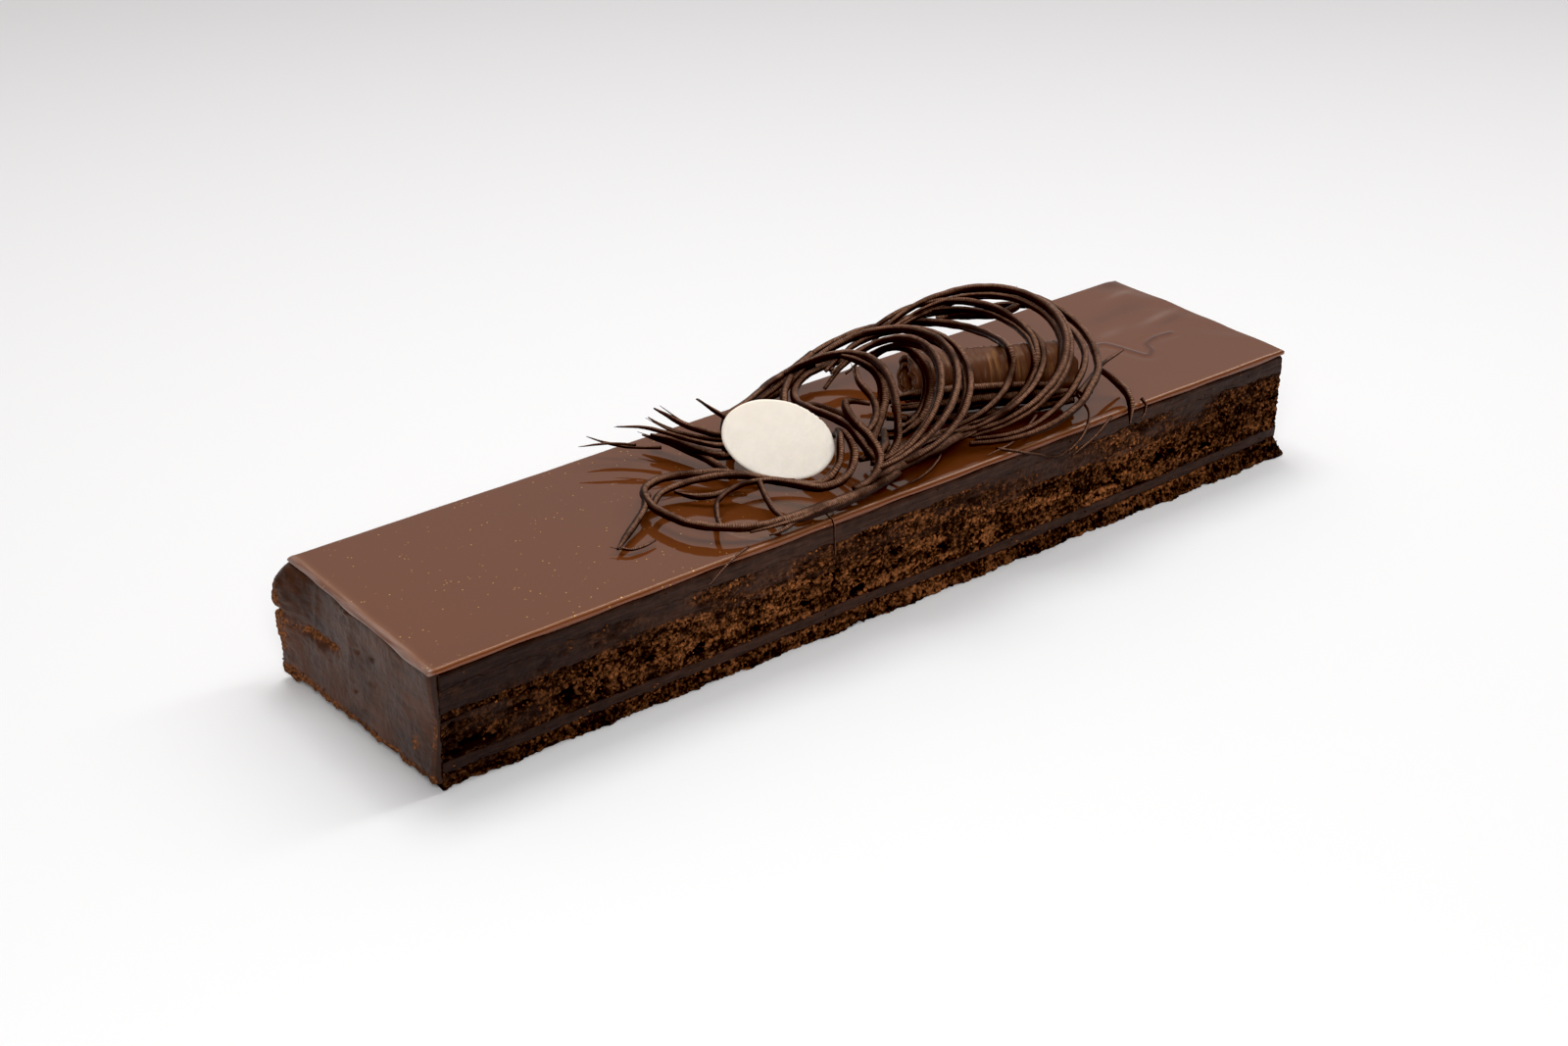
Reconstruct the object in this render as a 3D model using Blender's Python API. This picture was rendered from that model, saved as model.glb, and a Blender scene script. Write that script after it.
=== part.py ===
"""A long layered brownie cake with a glossy chocolate glaze and a nest of chocolate curls on top.

Frame: origin at the middle of the cake's underside, +X along the cake's length, +Y to its back,
+Z up. All sizes below are in millimetres and are turned into metres when a mesh is made.
"""

import math
import random

import bmesh
import bpy
from mathutils import Vector

MM = 0.001

# The cake's body.
LENGTH = 390.0
WIDTH = 90.0
HEIGHT = 45.0
GAP = 0.3  # clearance between two touching pieces
COAT = 2.9  # thickness of the chocolate smeared over the left end
SKEW = 5.4  # how much shorter the cake is along its back edge, at the left end
LEAN = 4.6  # how far the left end's coat comes out again towards its foot, at the back
COLUMNS = 62  # stations along the length
ENDS = 8  # stations across each end

# Height of the top of each layer above the board, at the middle of the cake.
BASE_TOP = 6.4
LOWER_GANACHE_TOP = 10.4
MIDDLE_SPONGE_TOP = 24.8
MIDDLE_GANACHE_TOP = 27.4
TOP_SPONGE_TOP = 36.2
TOP_GANACHE_TOP = 42.2

# How far the crumb of a sponge stands out or in, and how deep its torn holes go.
CRUMB = 0.7
HOLE = 2.2
HOLE_SHARE = 0.10
FOOT = 3.4  # how far the base bulges out under the front and back faces
FOOT_STEP = 2.6  # height of the crumb foot that shows under the end coat

# The glaze: a poured sheet with a rounded lip that stands out over the cut faces.
LIP = 0.6
LIP_ROUND = 1.3
ROLL_OVER = 1.1  # how far it comes past the coat on the left end

# The rolled chocolate cigarette.
ROLL_RADIUS = 10.3
ROLL_SHEET = 1.5
ROLL_LEFT = (38.0, -1.0, 59.2)
ROLL_RIGHT = (96.0, -25.0, 58.0)
ROLL_TURNS = 2.1
ROLL_START = -60.0  # degrees round from the front at which the sheet's outer edge lies
ROLL_PITCH = 2.6  # distance between two wraps of the sheet

# The oval plaque that leans on the curls.
PLAQUE_LONG = 39.0
PLAQUE_SHORT = 28.0
PLAQUE_THICK = 2.0
PLAQUE_AT = (-29.5, -10.5, 60.0)
PLAQUE_FACES = (-0.52, -0.66, 0.54)
PLAQUE_TURN = 5.0  # degrees that its long axis drops towards the right

# The curls: shaved strands of chocolate, round in section, pointed where they broke off.
STRAND = 1.45  # radius of a full strand
SIDES = 5
STEP = 9.5  # length of one straight piece of a strand
FLOAT = 0.35  # least air between a strand and the glaze, the roll or the plaque
SLIPPED = (-0.57, -0.66, 0.47)  # the way that strands lying over the roll have slid

# Turns of the fallen coil: centre, radius, lean of the turn off level, compass direction that its
# low side faces, where it starts and how far it goes round (all angles in degrees), thickness.
TURNS = (
    ((61, 4, 58.5), 33, 22, 211, 236, 235, 1.00),
    ((54, 2, 57.3), 40, 15.7, 179, 236, 245, 0.95),
    ((43, 9, 55.0), 41, 11, 177, 240, 245, 1.05),
    ((63, -4, 62.5), 38, 24, 190, 225, 245, 1.05),
    ((64, -4, 61.3), 39, 24, 190, 228, 225, 0.90),
    ((8, -12, 64.0), 35, 30, 177, 230, 240, 1.05),
    ((18, -14, 63.5), 30, 34, 190, 222, 235, 1.00),
    ((8, -18, 65.0), 27.5, 44, 172, 222, 231, 0.95),
    ((25, -8, 61.5), 16.5, 62, 186, 192, 240, 1.10),
)

# Strands that follow a course of their own: a few points each, and the thickness at the start,
# in the middle and at the end.
COURSES = (
    # the flat loop that lies on the glaze in front of the plaque
    (((-23, -31, 65), (-24, -36, 60), (-28, -37, 55), (-32, -33, 52.5), (-40, -20, 51.5),
      (-48, -5, 51), (-59, 2, 51), (-70, 5, 51), (-79, 1, 50.5), (-82, -10, 50), (-80, -25, 50),
      (-72, -35, 49.8), (-61, -41, 49.5), (-45, -42, 49), (-31, -42, 48.5), (-10, -41, 48.5)),
     0.9, 1.0, 1.2),
    (((-82, -8, 50.2), (-72, -2, 50.5), (-62, -3, 51), (-49, -8, 51.5), (-38, -24, 52.2)),
     0.7, 0.9, 0.8),
    (((-73, -34, 49.6), (-64, -20, 49.5), (-54, -15, 50.5), (-44, -18, 51.8), (-36, -27, 52.4)),
     0.6, 0.65, 0.8),
    (((-68, -2, 48.6), (-64, -5, 48), (-63, -10, 48), (-57, -13, 49), (-50, -15, 50.6)),
     0.3, 0.8, 0.7),
    (((-44, -18, 51.6), (-49, -29, 49.8), (-51, -37, 48.6), (-52, -41, 49)), 0.8, 0.7, 0.6),
    (((-79, -1, 50.5), (-86, -8, 49), (-94, -13, 48), (-106, -21, 47)), 1.0, 0.9, 0.3),
    (((-105, -20.5, 47.1), (-105, -23, 46.9), (-98, -24, 46.7), (-92, -23, 46.6)),
     0.35, 0.35, 0.2),
    # the thick strands that turn down beside the plaque
    (((-22, -27, 66), (-18, -29, 66.5), (-17, -34, 64), (-18, -38, 59), (-23, -39, 55),
      (-31, -37, 52.6), (-36, -29, 52.2), (-41, -19, 51.6)), 0.7, 1.05, 0.8),
    (((26, 14, 67), (20, 18, 65), (14.5, 22, 62.5), (8, 22, 60.5), (1.5, 18, 59.5), (-3.5, 11, 59.5),
      (-6, 0, 61), (-5, -12, 61.5), (-5, -22, 60), (-5, -30, 55), (-4, -35, 51)), 0.6, 1.0, 0.9),
    (((3, -21, 68), (-2, -17, 69), (-6, -17, 69), (-7, -23, 66), (-6, -31, 62), (-7, -38, 57),
      (-11, -41, 53), (-21, -41, 50)), 0.4, 1.15, 0.9),
    (((13, 6, 74), (14, 0, 74.5), (15, -6, 74), (16, -11, 71.5), (14, -16, 67), (10, -19, 62),
      (2, -24, 56), (-4, -30, 53)), 0.6, 1.3, 0.9),
    (((11, -4, 74), (6.5, -10.5, 72.5), (5.5, -15.5, 70.5), (5.5, -20, 68.5), (2.5, -25, 66),
      (-1.5, -28, 63.5), (-6.5, -29.5, 62)), 0.4, 0.9, 0.6),
    # the big outer strand on the left of the coil, and the tails of two turns at the back
    (((-9, 31, 53), (-3, 31, 57), (4, 27, 62), (9, 19, 68), (13, 10, 73), (16, -1, 76),
      (15, -13, 76), (10, -25, 73), (5, -33, 67), (2, -36, 58), (-3, -35, 51.5)),
     0.6, 1.05, 0.9),
    (((-9, 33, 52), (7, 39, 52.5), (24, 45, 52.5), (36, 49, 53.5)), 0.7, 1.0, 1.1),
    (((-6, 29, 53.5), (1, 28, 57), (8, 27, 61), (16, 24, 64)), 0.6, 0.9, 1.0),
    (((-14, 27, 51), (-4, 31, 52), (10, 34, 53), (26, 38, 54), (44, 40, 55)), 0.9, 1.5, 1.0),
    # the broad broken band along the front edge, and the torn ends on it
    (((-66, -39, 49), (-53, -42, 49), (-38, -43, 49), (-17, -42.5, 49), (0, -40, 50)),
     0.5, 1.5, 1.1),
    (((-44, -42, 49), (-50, -44, 48.5), (-56, -45, 47.6), (-61, -44.5, 47.2)), 0.9, 0.6, 0.2),
    # the bundle where the turns come together at the front
    (((-12, -39, 50), (0, -38, 50.5), (12, -36, 50.5), (28, -34, 50.5), (44, -32, 51)),
     0.8, 1.6, 1.0),
    (((-6, -33, 52.5), (6, -33, 53.5), (18, -31, 53), (32, -29, 51.5), (44, -27, 49.5)),
     0.7, 1.4, 0.8),
    (((-4, -24, 50), (6, -26, 50.5), (18, -27, 50.5), (34, -29, 50)), 0.8, 1.3, 0.9),
    (((0, -30, 53), (8, -24, 52), (14, -17, 49), (20, -10, 48.5)), 0.8, 1.2, 0.9),
    # the fan of broken points behind the plaque's left side
    (((-62, 39, 56), (-56, 35, 56), (-50, 26, 55), (-42, 10, 54), (-32, 5, 54)), 0.15, 0.6, 1.0),
    (((-50, 33, 62), (-46, 24, 59), (-40, 12, 57), (-30, 6, 56)), 0.2, 0.8, 1.0),
    (((-51, 35, 58), (-48, 27, 55.5), (-42, 14, 55), (-31, 6, 54.5)), 0.15, 0.6, 0.9),
    (((-39, 23, 66), (-35, 16, 62), (-30, 10, 58.5), (-22, 8, 57)), 0.2, 0.6, 0.8),
    (((-50, 35, 51), (-45, 24, 50.5), (-42, 8, 50.5), (-30, 3, 52)), 0.4, 1.2, 1.3),
    (((-50, 40, 49), (-46, 27, 49), (-44, 10, 49), (-46, -4, 49.8), (-48, -8, 51)),
     0.2, 1.0, 0.9),
    (((-38, 10, 56), (-30, 17, 60), (-21, 17, 62), (-8, 24, 61), (4, 27, 62)), 0.5, 0.7, 0.9),
    (((-40, 6, 53), (-22, 8, 55), (-8, 12, 58), (-3, 18, 61), (5, 24, 62)), 0.9, 1.0, 0.9),
    (((-34, 8, 55), (-14, 12, 57), (2, 8, 57), (12, -2, 52), (15, -14, 48.5)), 0.9, 1.0, 0.9),
    (((-34, 6, 53), (-28, 18, 52), (-18, 26, 51), (-6, 30, 52)), 0.9, 1.1, 0.9),
    # the two outermost turns, which tuck in under the others at the top
    (((39.5, -33.5, 46.7), (47.5, -39.5, 47.5), (56.5, -44, 49), (67, -46.5, 51), (79.5, -46.5, 54),
      (90.5, -42.5, 57.7), (99.5, -37, 60.8), (105, -29.3, 63.7), (109.3, -20, 66.3),
      (111, -10.5, 68.5), (111, -0.5, 70.2), (108.5, 8.5, 71.3), (104, 17, 71.7), (97, 23, 71)),
     0.6, 1.05, 0.6),
    (((41.5, -34, 48.2), (48, -39, 49), (57, -43, 50.6), (70, -43.5, 53.8), (82.5, -40.3, 57.6),
      (94, -34.5, 61.5), (101, -27, 64.5), (105, -17, 67.2), (106, -6.5, 69.3), (105, 3.5, 70.8),
      (101.5, 12.7, 71.4), (95.5, 19.7, 71.1)), 0.5, 0.85, 0.5),
    # broken strands at the right end of the nest
    (((84, -43, 57), (100, -34, 56.5), (113, -27, 55.5), (128, -22.5, 55)), 0.8, 0.55, 0.3),
    (((107, -30.5, 56), (109, -32.5, 54), (111.3, -34.3, 52), (112, -37, 50.3), (111, -41, 49),
      (109, -45.5, 47.6), (108, -47.4, 44), (107.6, -47.2, 39.5)), 0.7, 1.05, 0.2),
    (((83, -43, 57), (86, -45.5, 53), (85, -48, 47), (81, -48.8, 43), (74, -49, 39)),
     0.45, 0.35, 0.25),
    (((110, -2, 70), (104, 12, 68), (96, 22, 65), (82, 31, 61.5)), 0.5, 0.9, 0.9),
    (((108, 14, 71.5), (99, 6, 70), (92, 10, 68), (84, 26, 64)), 0.4, 1.1, 0.9),
)


def wave(x, y, kind):
    """Slow unevenness of a layer's top, level with the opposite face or not; straight across Y."""
    along = 0.34 * math.sin(x / 37.0 + 1.7 * kind) + 0.22 * math.sin(x / 19.0 + 2.3 * kind)
    across = 0.30 * math.sin(x / 53.0 + 0.9 * kind)
    return along + across * y / 45.0


def right_rise(x):
    """The lower layers climb a little towards the right end."""
    t = min(max((x - 90.0) / 105.0, 0.0), 1.0)
    return 1.1 * t * t * (3 - 2 * t)


def top_of(level, kind, rise=1.0):
    def height(x, y):
        return level + wave(x, y, kind) + rise * right_rise(x)

    return height


def flat(level):
    return lambda x, y: level


def above(height, gap=GAP):
    return lambda x, y: height(x, y) + gap


def left_line(y):
    """Where the layers end on the left: the cake is a little shorter along its back edge."""
    return -LENGTH / 2 + COAT + GAP + SKEW * (y / WIDTH + 0.5)


def front_line(x):
    return -45.1 + 0.8 * (x + 195.0) / LENGTH


def back_line(x):
    return 44.8 + 0.5 * (x + 195.0) / LENGTH


def outline(left_out=0.0):
    """The plan of the cake, as points with the direction that faces out: front, right, back, left."""
    x1 = LENGTH / 2 - 0.5
    points = []
    for i in range(COLUMNS + 1):
        x0 = left_line(-45.0) - left_out
        x = x0 + (x1 - x0) * i / COLUMNS
        side = -1.0 if i == 0 else (1.0 if i == COLUMNS else 0.0)
        points.append((x, front_line(x), side, -1.0))
    for j in range(1, ENDS):
        y = front_line(x1) + (back_line(x1) - front_line(x1)) * j / ENDS
        points.append((x1, y, 1.0, 0.0))
    for i in range(COLUMNS, -1, -1):
        x0 = left_line(45.0) - left_out
        x = x0 + (x1 - x0) * i / COLUMNS
        side = -1.0 if i == 0 else (1.0 if i == COLUMNS else 0.0)
        points.append((x, back_line(x), side, 1.0))
    for j in range(ENDS - 1, 0, -1):
        y = front_line(-195.0) + (back_line(-195.0) - front_line(-195.0)) * j / ENDS
        points.append((left_line(y) - left_out, y, -1.0, 0.0))
    return points


def cap(ring, top):
    """Faces that close a ring of outline points: strips from front to back, and the two ends."""
    front = ring[: COLUMNS + 1]
    right = ring[COLUMNS + 1 : COLUMNS + ENDS]
    back = ring[COLUMNS + ENDS : 2 * COLUMNS + ENDS + 1][::-1]
    left = ring[2 * COLUMNS + ENDS + 1 :][::-1]
    faces = [(front[i], front[i + 1], back[i + 1], back[i]) for i in range(1, COLUMNS - 1)]
    faces.append((front[0], front[1], back[1], back[0]) + tuple(left[::-1]))
    faces.append((front[-2], front[-1]) + tuple(right) + (back[-1], back[-2]))
    return faces if top else [tuple(reversed(face)) for face in faces]


def slab(name, rows, left_out=0.0):
    """A body made of rings round the outline, closed above and below. Each row is a function of
    an outline point and its place in the ring that gives the ring's point in millimetres."""
    plan = outline(left_out)
    count = len(plan)
    points = [row(index, *spot) for row in rows for index, spot in enumerate(plan)]
    faces = []
    for k in range(len(rows) - 1):
        for i in range(count):
            j = (i + 1) % count
            faces.append((k * count + i, k * count + j, (k + 1) * count + j, (k + 1) * count + i))
    faces += cap(list(range(count)), False)
    faces += cap([(len(rows) - 1) * count + i for i in range(count)], True)
    return solid(name, points, faces)


def solid(name, points, faces, smooth=False):
    mesh = bpy.data.meshes.new(name)
    mesh.from_pydata([Vector(point) * MM for point in points], [], faces)
    mesh.validate()
    made = bpy.data.objects.new(name, mesh)
    bpy.context.scene.collection.objects.link(made)
    if smooth:
        for polygon in mesh.polygons:
            polygon.use_smooth = True
    return made


def material(obj, colour, roughness, coat=0.0):
    made = bpy.data.materials.new(obj.name)
    made.use_nodes = True
    shader = made.node_tree.nodes["Principled BSDF"]
    shader.inputs["Base Color"].default_value = (*colour, 1.0)
    shader.inputs["Roughness"].default_value = roughness
    shader.inputs["Coat Weight"].default_value = coat
    obj.data.materials.clear()
    obj.data.materials.append(made)


def foot_out(x, side, share):
    """How far the base stands out at its foot: little at the front left, most at the front right."""
    along = (x + 195.0) / LENGTH
    reach = (along * 1.1 - 0.25) if side < 0 else (1.15 - 0.45 * along)
    return FOOT * reach * (1.0 - share) ** 1.5


def sponge(name, bottom, top, parts, seed, foot=False):
    """A cake layer with torn crumb on every cut face."""
    dice = random.Random(seed)
    shares = [k / parts for k in range(parts + 1)]
    if foot:
        shares = [0.0, FOOT_STEP / BASE_TOP, (FOOT_STEP + 0.25) / BASE_TOP, 1.0]

    def row(k, share):
        def point(index, x, y, nx, ny):
            edge = k in (0, len(shares) - 1)
            deep = dice.random() < HOLE_SHARE and not edge
            out = -HOLE * dice.uniform(0.5, 1.0) if deep else dice.uniform(-1.0, 0.6) * CRUMB
            if nx < 0:  # the left end is under its coat, and only the foot shows there
                reach = COAT - 0.2 + 0.4 * dice.random() + LEAN * (y / WIDTH + 0.5)
                px = x - (reach if foot and k < 2 else 0.0)
            else:
                px = x + nx * out
            py = y + ny * (out if nx >= 0 else 0.0)
            if foot:
                py += ny * foot_out(x, ny, share)
            z = bottom(px, py) * (1.0 - share) + top(px, py) * share
            return (px, py, z)

        return point

    made = slab(name, [row(k, share) for k, share in enumerate(shares)])
    material(made, (0.115, 0.045, 0.018), 0.95)
    return made


def ganache(name, bottom, top, stand_out=0.0):
    """A smooth layer of ganache between two cake layers."""

    def row(share):
        def point(index, x, y, nx, ny):
            out = stand_out * (0.6 + 0.4 * math.sin(x / 23.0 + 2.0 * y))
            px = x + (nx * out if nx >= 0 else 0.0)
            py = y + ny * (out if nx >= 0 else 0.0)
            return (px, py, bottom(px, py) * (1.0 - share) + top(px, py) * share)

        return point

    made = slab(name, [row(0.0), row(1.0)])
    material(made, (0.042, 0.028, 0.023), 0.5)
    return made


def glaze_sheet(bottom):
    """The poured glaze: level on top, with a rounded lip all round that rolls over the left end."""
    profile = (  # how far inside the lip's outermost line, and the share of the height
        (1.5, 0.0),
        (0.25, 0.22),
        (0.0, 0.52),
        (0.45, 0.84),
        (LIP_ROUND + 0.6, 1.0),
    )

    def row(inset, share):
        def point(index, x, y, nx, ny):
            out = LIP - inset + 0.18 * math.sin(x / 11.0 + y / 7.0)
            px = x + nx * out
            py = y + ny * out
            top = HEIGHT + 0.10 * math.sin(x / 31.0 + y / 20.0)
            return (px, py, bottom(px, py) * (1.0 - share) + top * share)

        return point

    made = slab("glaze", [row(*step) for step in profile], COAT + ROLL_OVER - LIP + 0.4)
    material(made, (0.075, 0.022, 0.008), 0.08, 1.0)
    return made


def end_coat(top):
    """The chocolate smeared over the left end, with its swollen back corner and its break."""
    across, rows = 14, 8
    low = FOOT_STEP + 0.25 + GAP
    dice = random.Random(5)

    def surface(j, k):
        share = k / rows
        y = -44.6 + 89.2 * j / across
        z = low + (top(-193.0, y) - low) * share
        swell = math.exp(-(((y - 44.0) / 9.0) ** 2) - ((z - 33.0) / 7.5) ** 2)
        hollow = math.exp(-(((y + 44.0) / 4.5) ** 2) - ((z - 24.0) / 7.0) ** 2)
        crack = math.exp(-(((y - 25.0) / 9.0) ** 2) - ((z - 23.5) / 1.8) ** 2)
        out = COAT + 5.6 * swell - 1.6 * hollow - 1.5 * crack + dice.uniform(-0.3, 0.3)
        out += LEAN * (1.0 - share) * (y / WIDTH + 0.5)
        side = 4.8 * swell + 2.4 * (1.0 - share) ** 2 if j == across else 0.0
        return (left_line(y) - GAP - out, y + side, z)

    points, faces = [], []
    for k in range(rows + 1):
        for j in range(across + 1):
            points.append(surface(j, k))
    inner = len(points)
    for k in (0, rows):
        for j in range(across + 1):
            x, y, z = points[k * (across + 1) + j]
            y = min(y, 44.6)
            points.append((left_line(y) - GAP, y, z))
    wide = across + 1
    for k in range(rows):
        for j in range(across):
            a = k * wide + j
            faces.append((a, a + wide, a + wide + 1, a + 1))
    for j in range(across):
        faces.append((j, j + 1, inner + j + 1, inner + j))
        a, b = rows * wide + j, inner + wide + j
        faces.append((a + 1, a, b, b + 1))
        faces.append((inner + j, inner + j + 1, b + 1, b))
    faces.append(tuple(k * wide for k in range(rows, -1, -1)) + (inner, inner + wide))
    faces.append(
        tuple(k * wide + across for k in range(rows + 1)) + (inner + 2 * wide - 1, inner + wide - 1)
    )
    made = solid("end_coat", points, faces)
    material(made, (0.055, 0.034, 0.027), 0.42)
    return made


def axes_from(direction, up=(0.0, 0.0, 1.0)):
    along = Vector(direction).normalized()
    side = along.cross(Vector(up)).normalized()
    return along, side, side.cross(along).normalized()


def wrap_drop(turned):
    """How many wraps further in the sheet lies after turning so many degrees: each wrap follows
    the one outside it and then steps inwards."""
    drop = 0.0
    for start in (200.0, 530.0):
        t = min(max((turned - start) / 150.0, 0.0), 1.0)
        drop += t * t * (3 - 2 * t)
    return drop


def chocolate_roll():
    """A sheet of chocolate rolled up on itself, open at both ends."""
    steps, stations = 50, 5
    left, right = Vector(ROLL_LEFT), Vector(ROLL_RIGHT)
    along, side, up = axes_from(right - left)
    dice = random.Random(8)
    points, faces = [], []
    for s in range(stations):
        centre = left.lerp(right, s / (stations - 1))
        for k in range(steps + 1):
            turned = 360.0 * ROLL_TURNS * k / steps
            angle = math.radians(ROLL_START + turned)
            outer = ROLL_RADIUS - 0.15 - ROLL_PITCH * wrap_drop(turned)
            outer += 0.12 * math.sin(3 * angle + 1.3 * s)
            slant = dice.uniform(-0.9, 0.9) if s in (0, stations - 1) else 0.0
            for radius in (outer, outer - ROLL_SHEET):
                ray = side * math.cos(angle) + up * math.sin(angle)
                points.append(centre + along * slant + ray * radius)
    wide = 2 * (steps + 1)
    for s in range(stations - 1):
        a, b = s * wide, (s + 1) * wide
        for k in range(steps):
            i = 2 * k
            faces.append((a + i, a + i + 2, b + i + 2, b + i))
            faces.append((a + i + 3, a + i + 1, b + i + 1, b + i + 3))
        faces.append((a + 1, a, b, b + 1))
        faces.append((a + wide - 2, a + wide - 1, b + wide - 1, b + wide - 2))
    last = (stations - 1) * wide
    for k in range(steps):
        i = 2 * k
        faces.append((i + 1, i + 3, i + 2, i))
        faces.append((last + i, last + i + 2, last + i + 3, last + i + 1))
    made = solid("chocolate_roll", points, faces, smooth=True)
    bm = bmesh.new()
    bm.from_mesh(made.data)
    bmesh.ops.recalc_face_normals(bm, faces=bm.faces)
    bm.to_mesh(made.data)
    bm.free()
    material(made, (0.045, 0.016, 0.008), 0.35)
    return made


def plaque():
    """A thin oval of white chocolate with rounded edges; its upper right edge has crumbled."""
    count = 36
    centre = Vector(PLAQUE_AT)
    facing, side, up = axes_from(PLAQUE_FACES)
    turn = math.radians(PLAQUE_TURN)
    # The long axis runs to the right and down, seen from the side that it faces.
    right = -side * math.cos(turn) - up * math.sin(turn)
    over = -side * -math.sin(turn) + up * math.cos(turn)
    dice = random.Random(3)
    chips = [0.0] * count
    for k in range(2, 8):
        chips[k] = dice.uniform(0.1, 0.9)
    points, faces = [], []
    levels = ((0.5, 1.0, 0.45), (0.15, 1.0, 0.0), (-0.15, 1.0, 0.0), (-0.5, 1.0, 0.45))
    for depth, _, inset in levels:
        for k in range(count):
            angle = 2 * math.pi * k / count
            a = PLAQUE_LONG / 2 - inset - chips[k]
            b = PLAQUE_SHORT / 2 - inset - chips[k]
            spot = right * a * math.cos(angle) + over * b * math.sin(angle)
            points.append(centre + spot + facing * PLAQUE_THICK * depth)
    for level in range(len(levels) - 1):
        for k in range(count):
            j = (k + 1) % count
            a, b = level * count, (level + 1) * count
            faces.append((a + j, a + k, b + k, b + j))
    faces.append(tuple(range(count)))
    faces.append(tuple(range((len(levels) - 1) * count + count - 1, (len(levels) - 1) * count - 1, -1)))
    made = solid("plaque", points, faces)
    bm = bmesh.new()
    bm.from_mesh(made.data)
    bmesh.ops.recalc_face_normals(bm, faces=bm.faces)
    bm.to_mesh(made.data)
    bm.free()
    material(made, (0.86, 0.80, 0.68), 0.3)
    return made


def spline(course, step=STEP):
    """Evenly spaced points of a smooth line through the given ones."""
    nodes = [Vector(point) for point in course]
    nodes = [nodes[0] * 2 - nodes[1]] + nodes + [nodes[-1] * 2 - nodes[-2]]
    fine = []
    for a, b, c, d in zip(nodes, nodes[1:], nodes[2:], nodes[3:]):
        for i in range(12):
            t = i / 12
            fine.append(
                0.5 * (2 * b + (c - a) * t + (2 * a - 5 * b + 4 * c - d) * t * t
                       + (3 * b - a - 3 * c + d) * t * t * t)
            )
    fine.append(nodes[-2])
    return even(fine, step)


def even(line, step):
    lengths = [0.0]
    for a, b in zip(line, line[1:]):
        lengths.append(lengths[-1] + (b - a).length)
    count = max(3, round(lengths[-1] / step))
    spread, at = [], 0
    for i in range(count + 1):
        want = lengths[-1] * i / count
        while at < len(line) - 2 and lengths[at + 1] < want:
            at += 1
        span = max(lengths[at + 1] - lengths[at], 1e-9)
        spread.append(line[at].lerp(line[at + 1], min(max((want - lengths[at]) / span, 0), 1)))
    return spread


def turn_line(centre, radius, lean, low, start, sweep, step=STEP):
    """One turn of the coil: part of a circle whose plane leans, lowest towards `low`."""
    lean, low = math.radians(lean), math.radians(low)
    normal = Vector((math.sin(lean) * math.cos(low), math.sin(lean) * math.sin(low), math.cos(lean)))
    down = Vector((math.cos(low) * math.cos(lean), math.sin(low) * math.cos(lean), -math.sin(lean)))
    across = normal.cross(down)
    count = max(6, round(math.radians(sweep) * radius / step))
    line = []
    for i in range(count + 1):
        angle = math.radians(start + sweep * i / count) - low
        line.append(
            Vector(centre) + radius * (down * math.cos(angle) + across * math.sin(angle))
        )
    return line


def roll_depth(point, radius):
    """How far a strand's point is inside the clear space round the roll."""
    left, right = Vector(ROLL_LEFT), Vector(ROLL_RIGHT)
    along = (right - left).normalized()
    at = (point - left).dot(along)
    if not -radius - 1.6 < at < (right - left).length + radius + 1.6:
        return 0.0
    return max(0.0, ROLL_RADIUS + radius + FLOAT + 0.5 - (point - left - along * at).length)


def laid_over_roll(line, sizes):
    """Lays a strand over the roll where it would run through it, and eases its neighbours."""
    slip = Vector(SLIPPED).normalized()
    shift = [0.0] * len(line)
    for _ in range(40):
        now = [point + slip * amount for point, amount in zip(line, shift)]
        for i, point in enumerate(now):
            inside = roll_depth(point, sizes[i])
            if i + 1 < len(now):
                inside = max(inside, roll_depth((point + now[i + 1]) / 2, sizes[i]))
            if i > 0:
                inside = max(inside, roll_depth((point + now[i - 1]) / 2, sizes[i]))
            if inside > 0.0:
                shift[i] += 0.5 * inside + 0.05
        eased = [
            0.25 * shift[max(i - 1, 0)] + 0.5 * shift[i] + 0.25 * shift[min(i + 1, len(line) - 1)]
            for i in range(len(line))
        ]
        shift = [max(amount, 0.94 * soft) for amount, soft in zip(shift, eased)]
    return [point + slip * amount for point, amount in zip(line, shift)]


def kept_clear(point, radius):
    """Moves a strand's point off the plaque and the glaze, where it would sink in."""
    facing, side, up = axes_from(PLAQUE_FACES)
    off = point - Vector(PLAQUE_AT)
    depth = off.dot(facing)
    if (off - facing * depth).length < PLAQUE_LONG / 2 + radius:
        least = PLAQUE_THICK / 2 + radius + FLOAT + 0.25
        if abs(depth) < least:
            point = point + facing * (math.copysign(least, depth) - depth)
    low = HEIGHT + 0.15 + FLOAT + radius
    if abs(point.y) < WIDTH / 2 + 1.5 and 40.0 < point.z < low:
        point = Vector((point.x, point.y, low))
    return point


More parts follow.
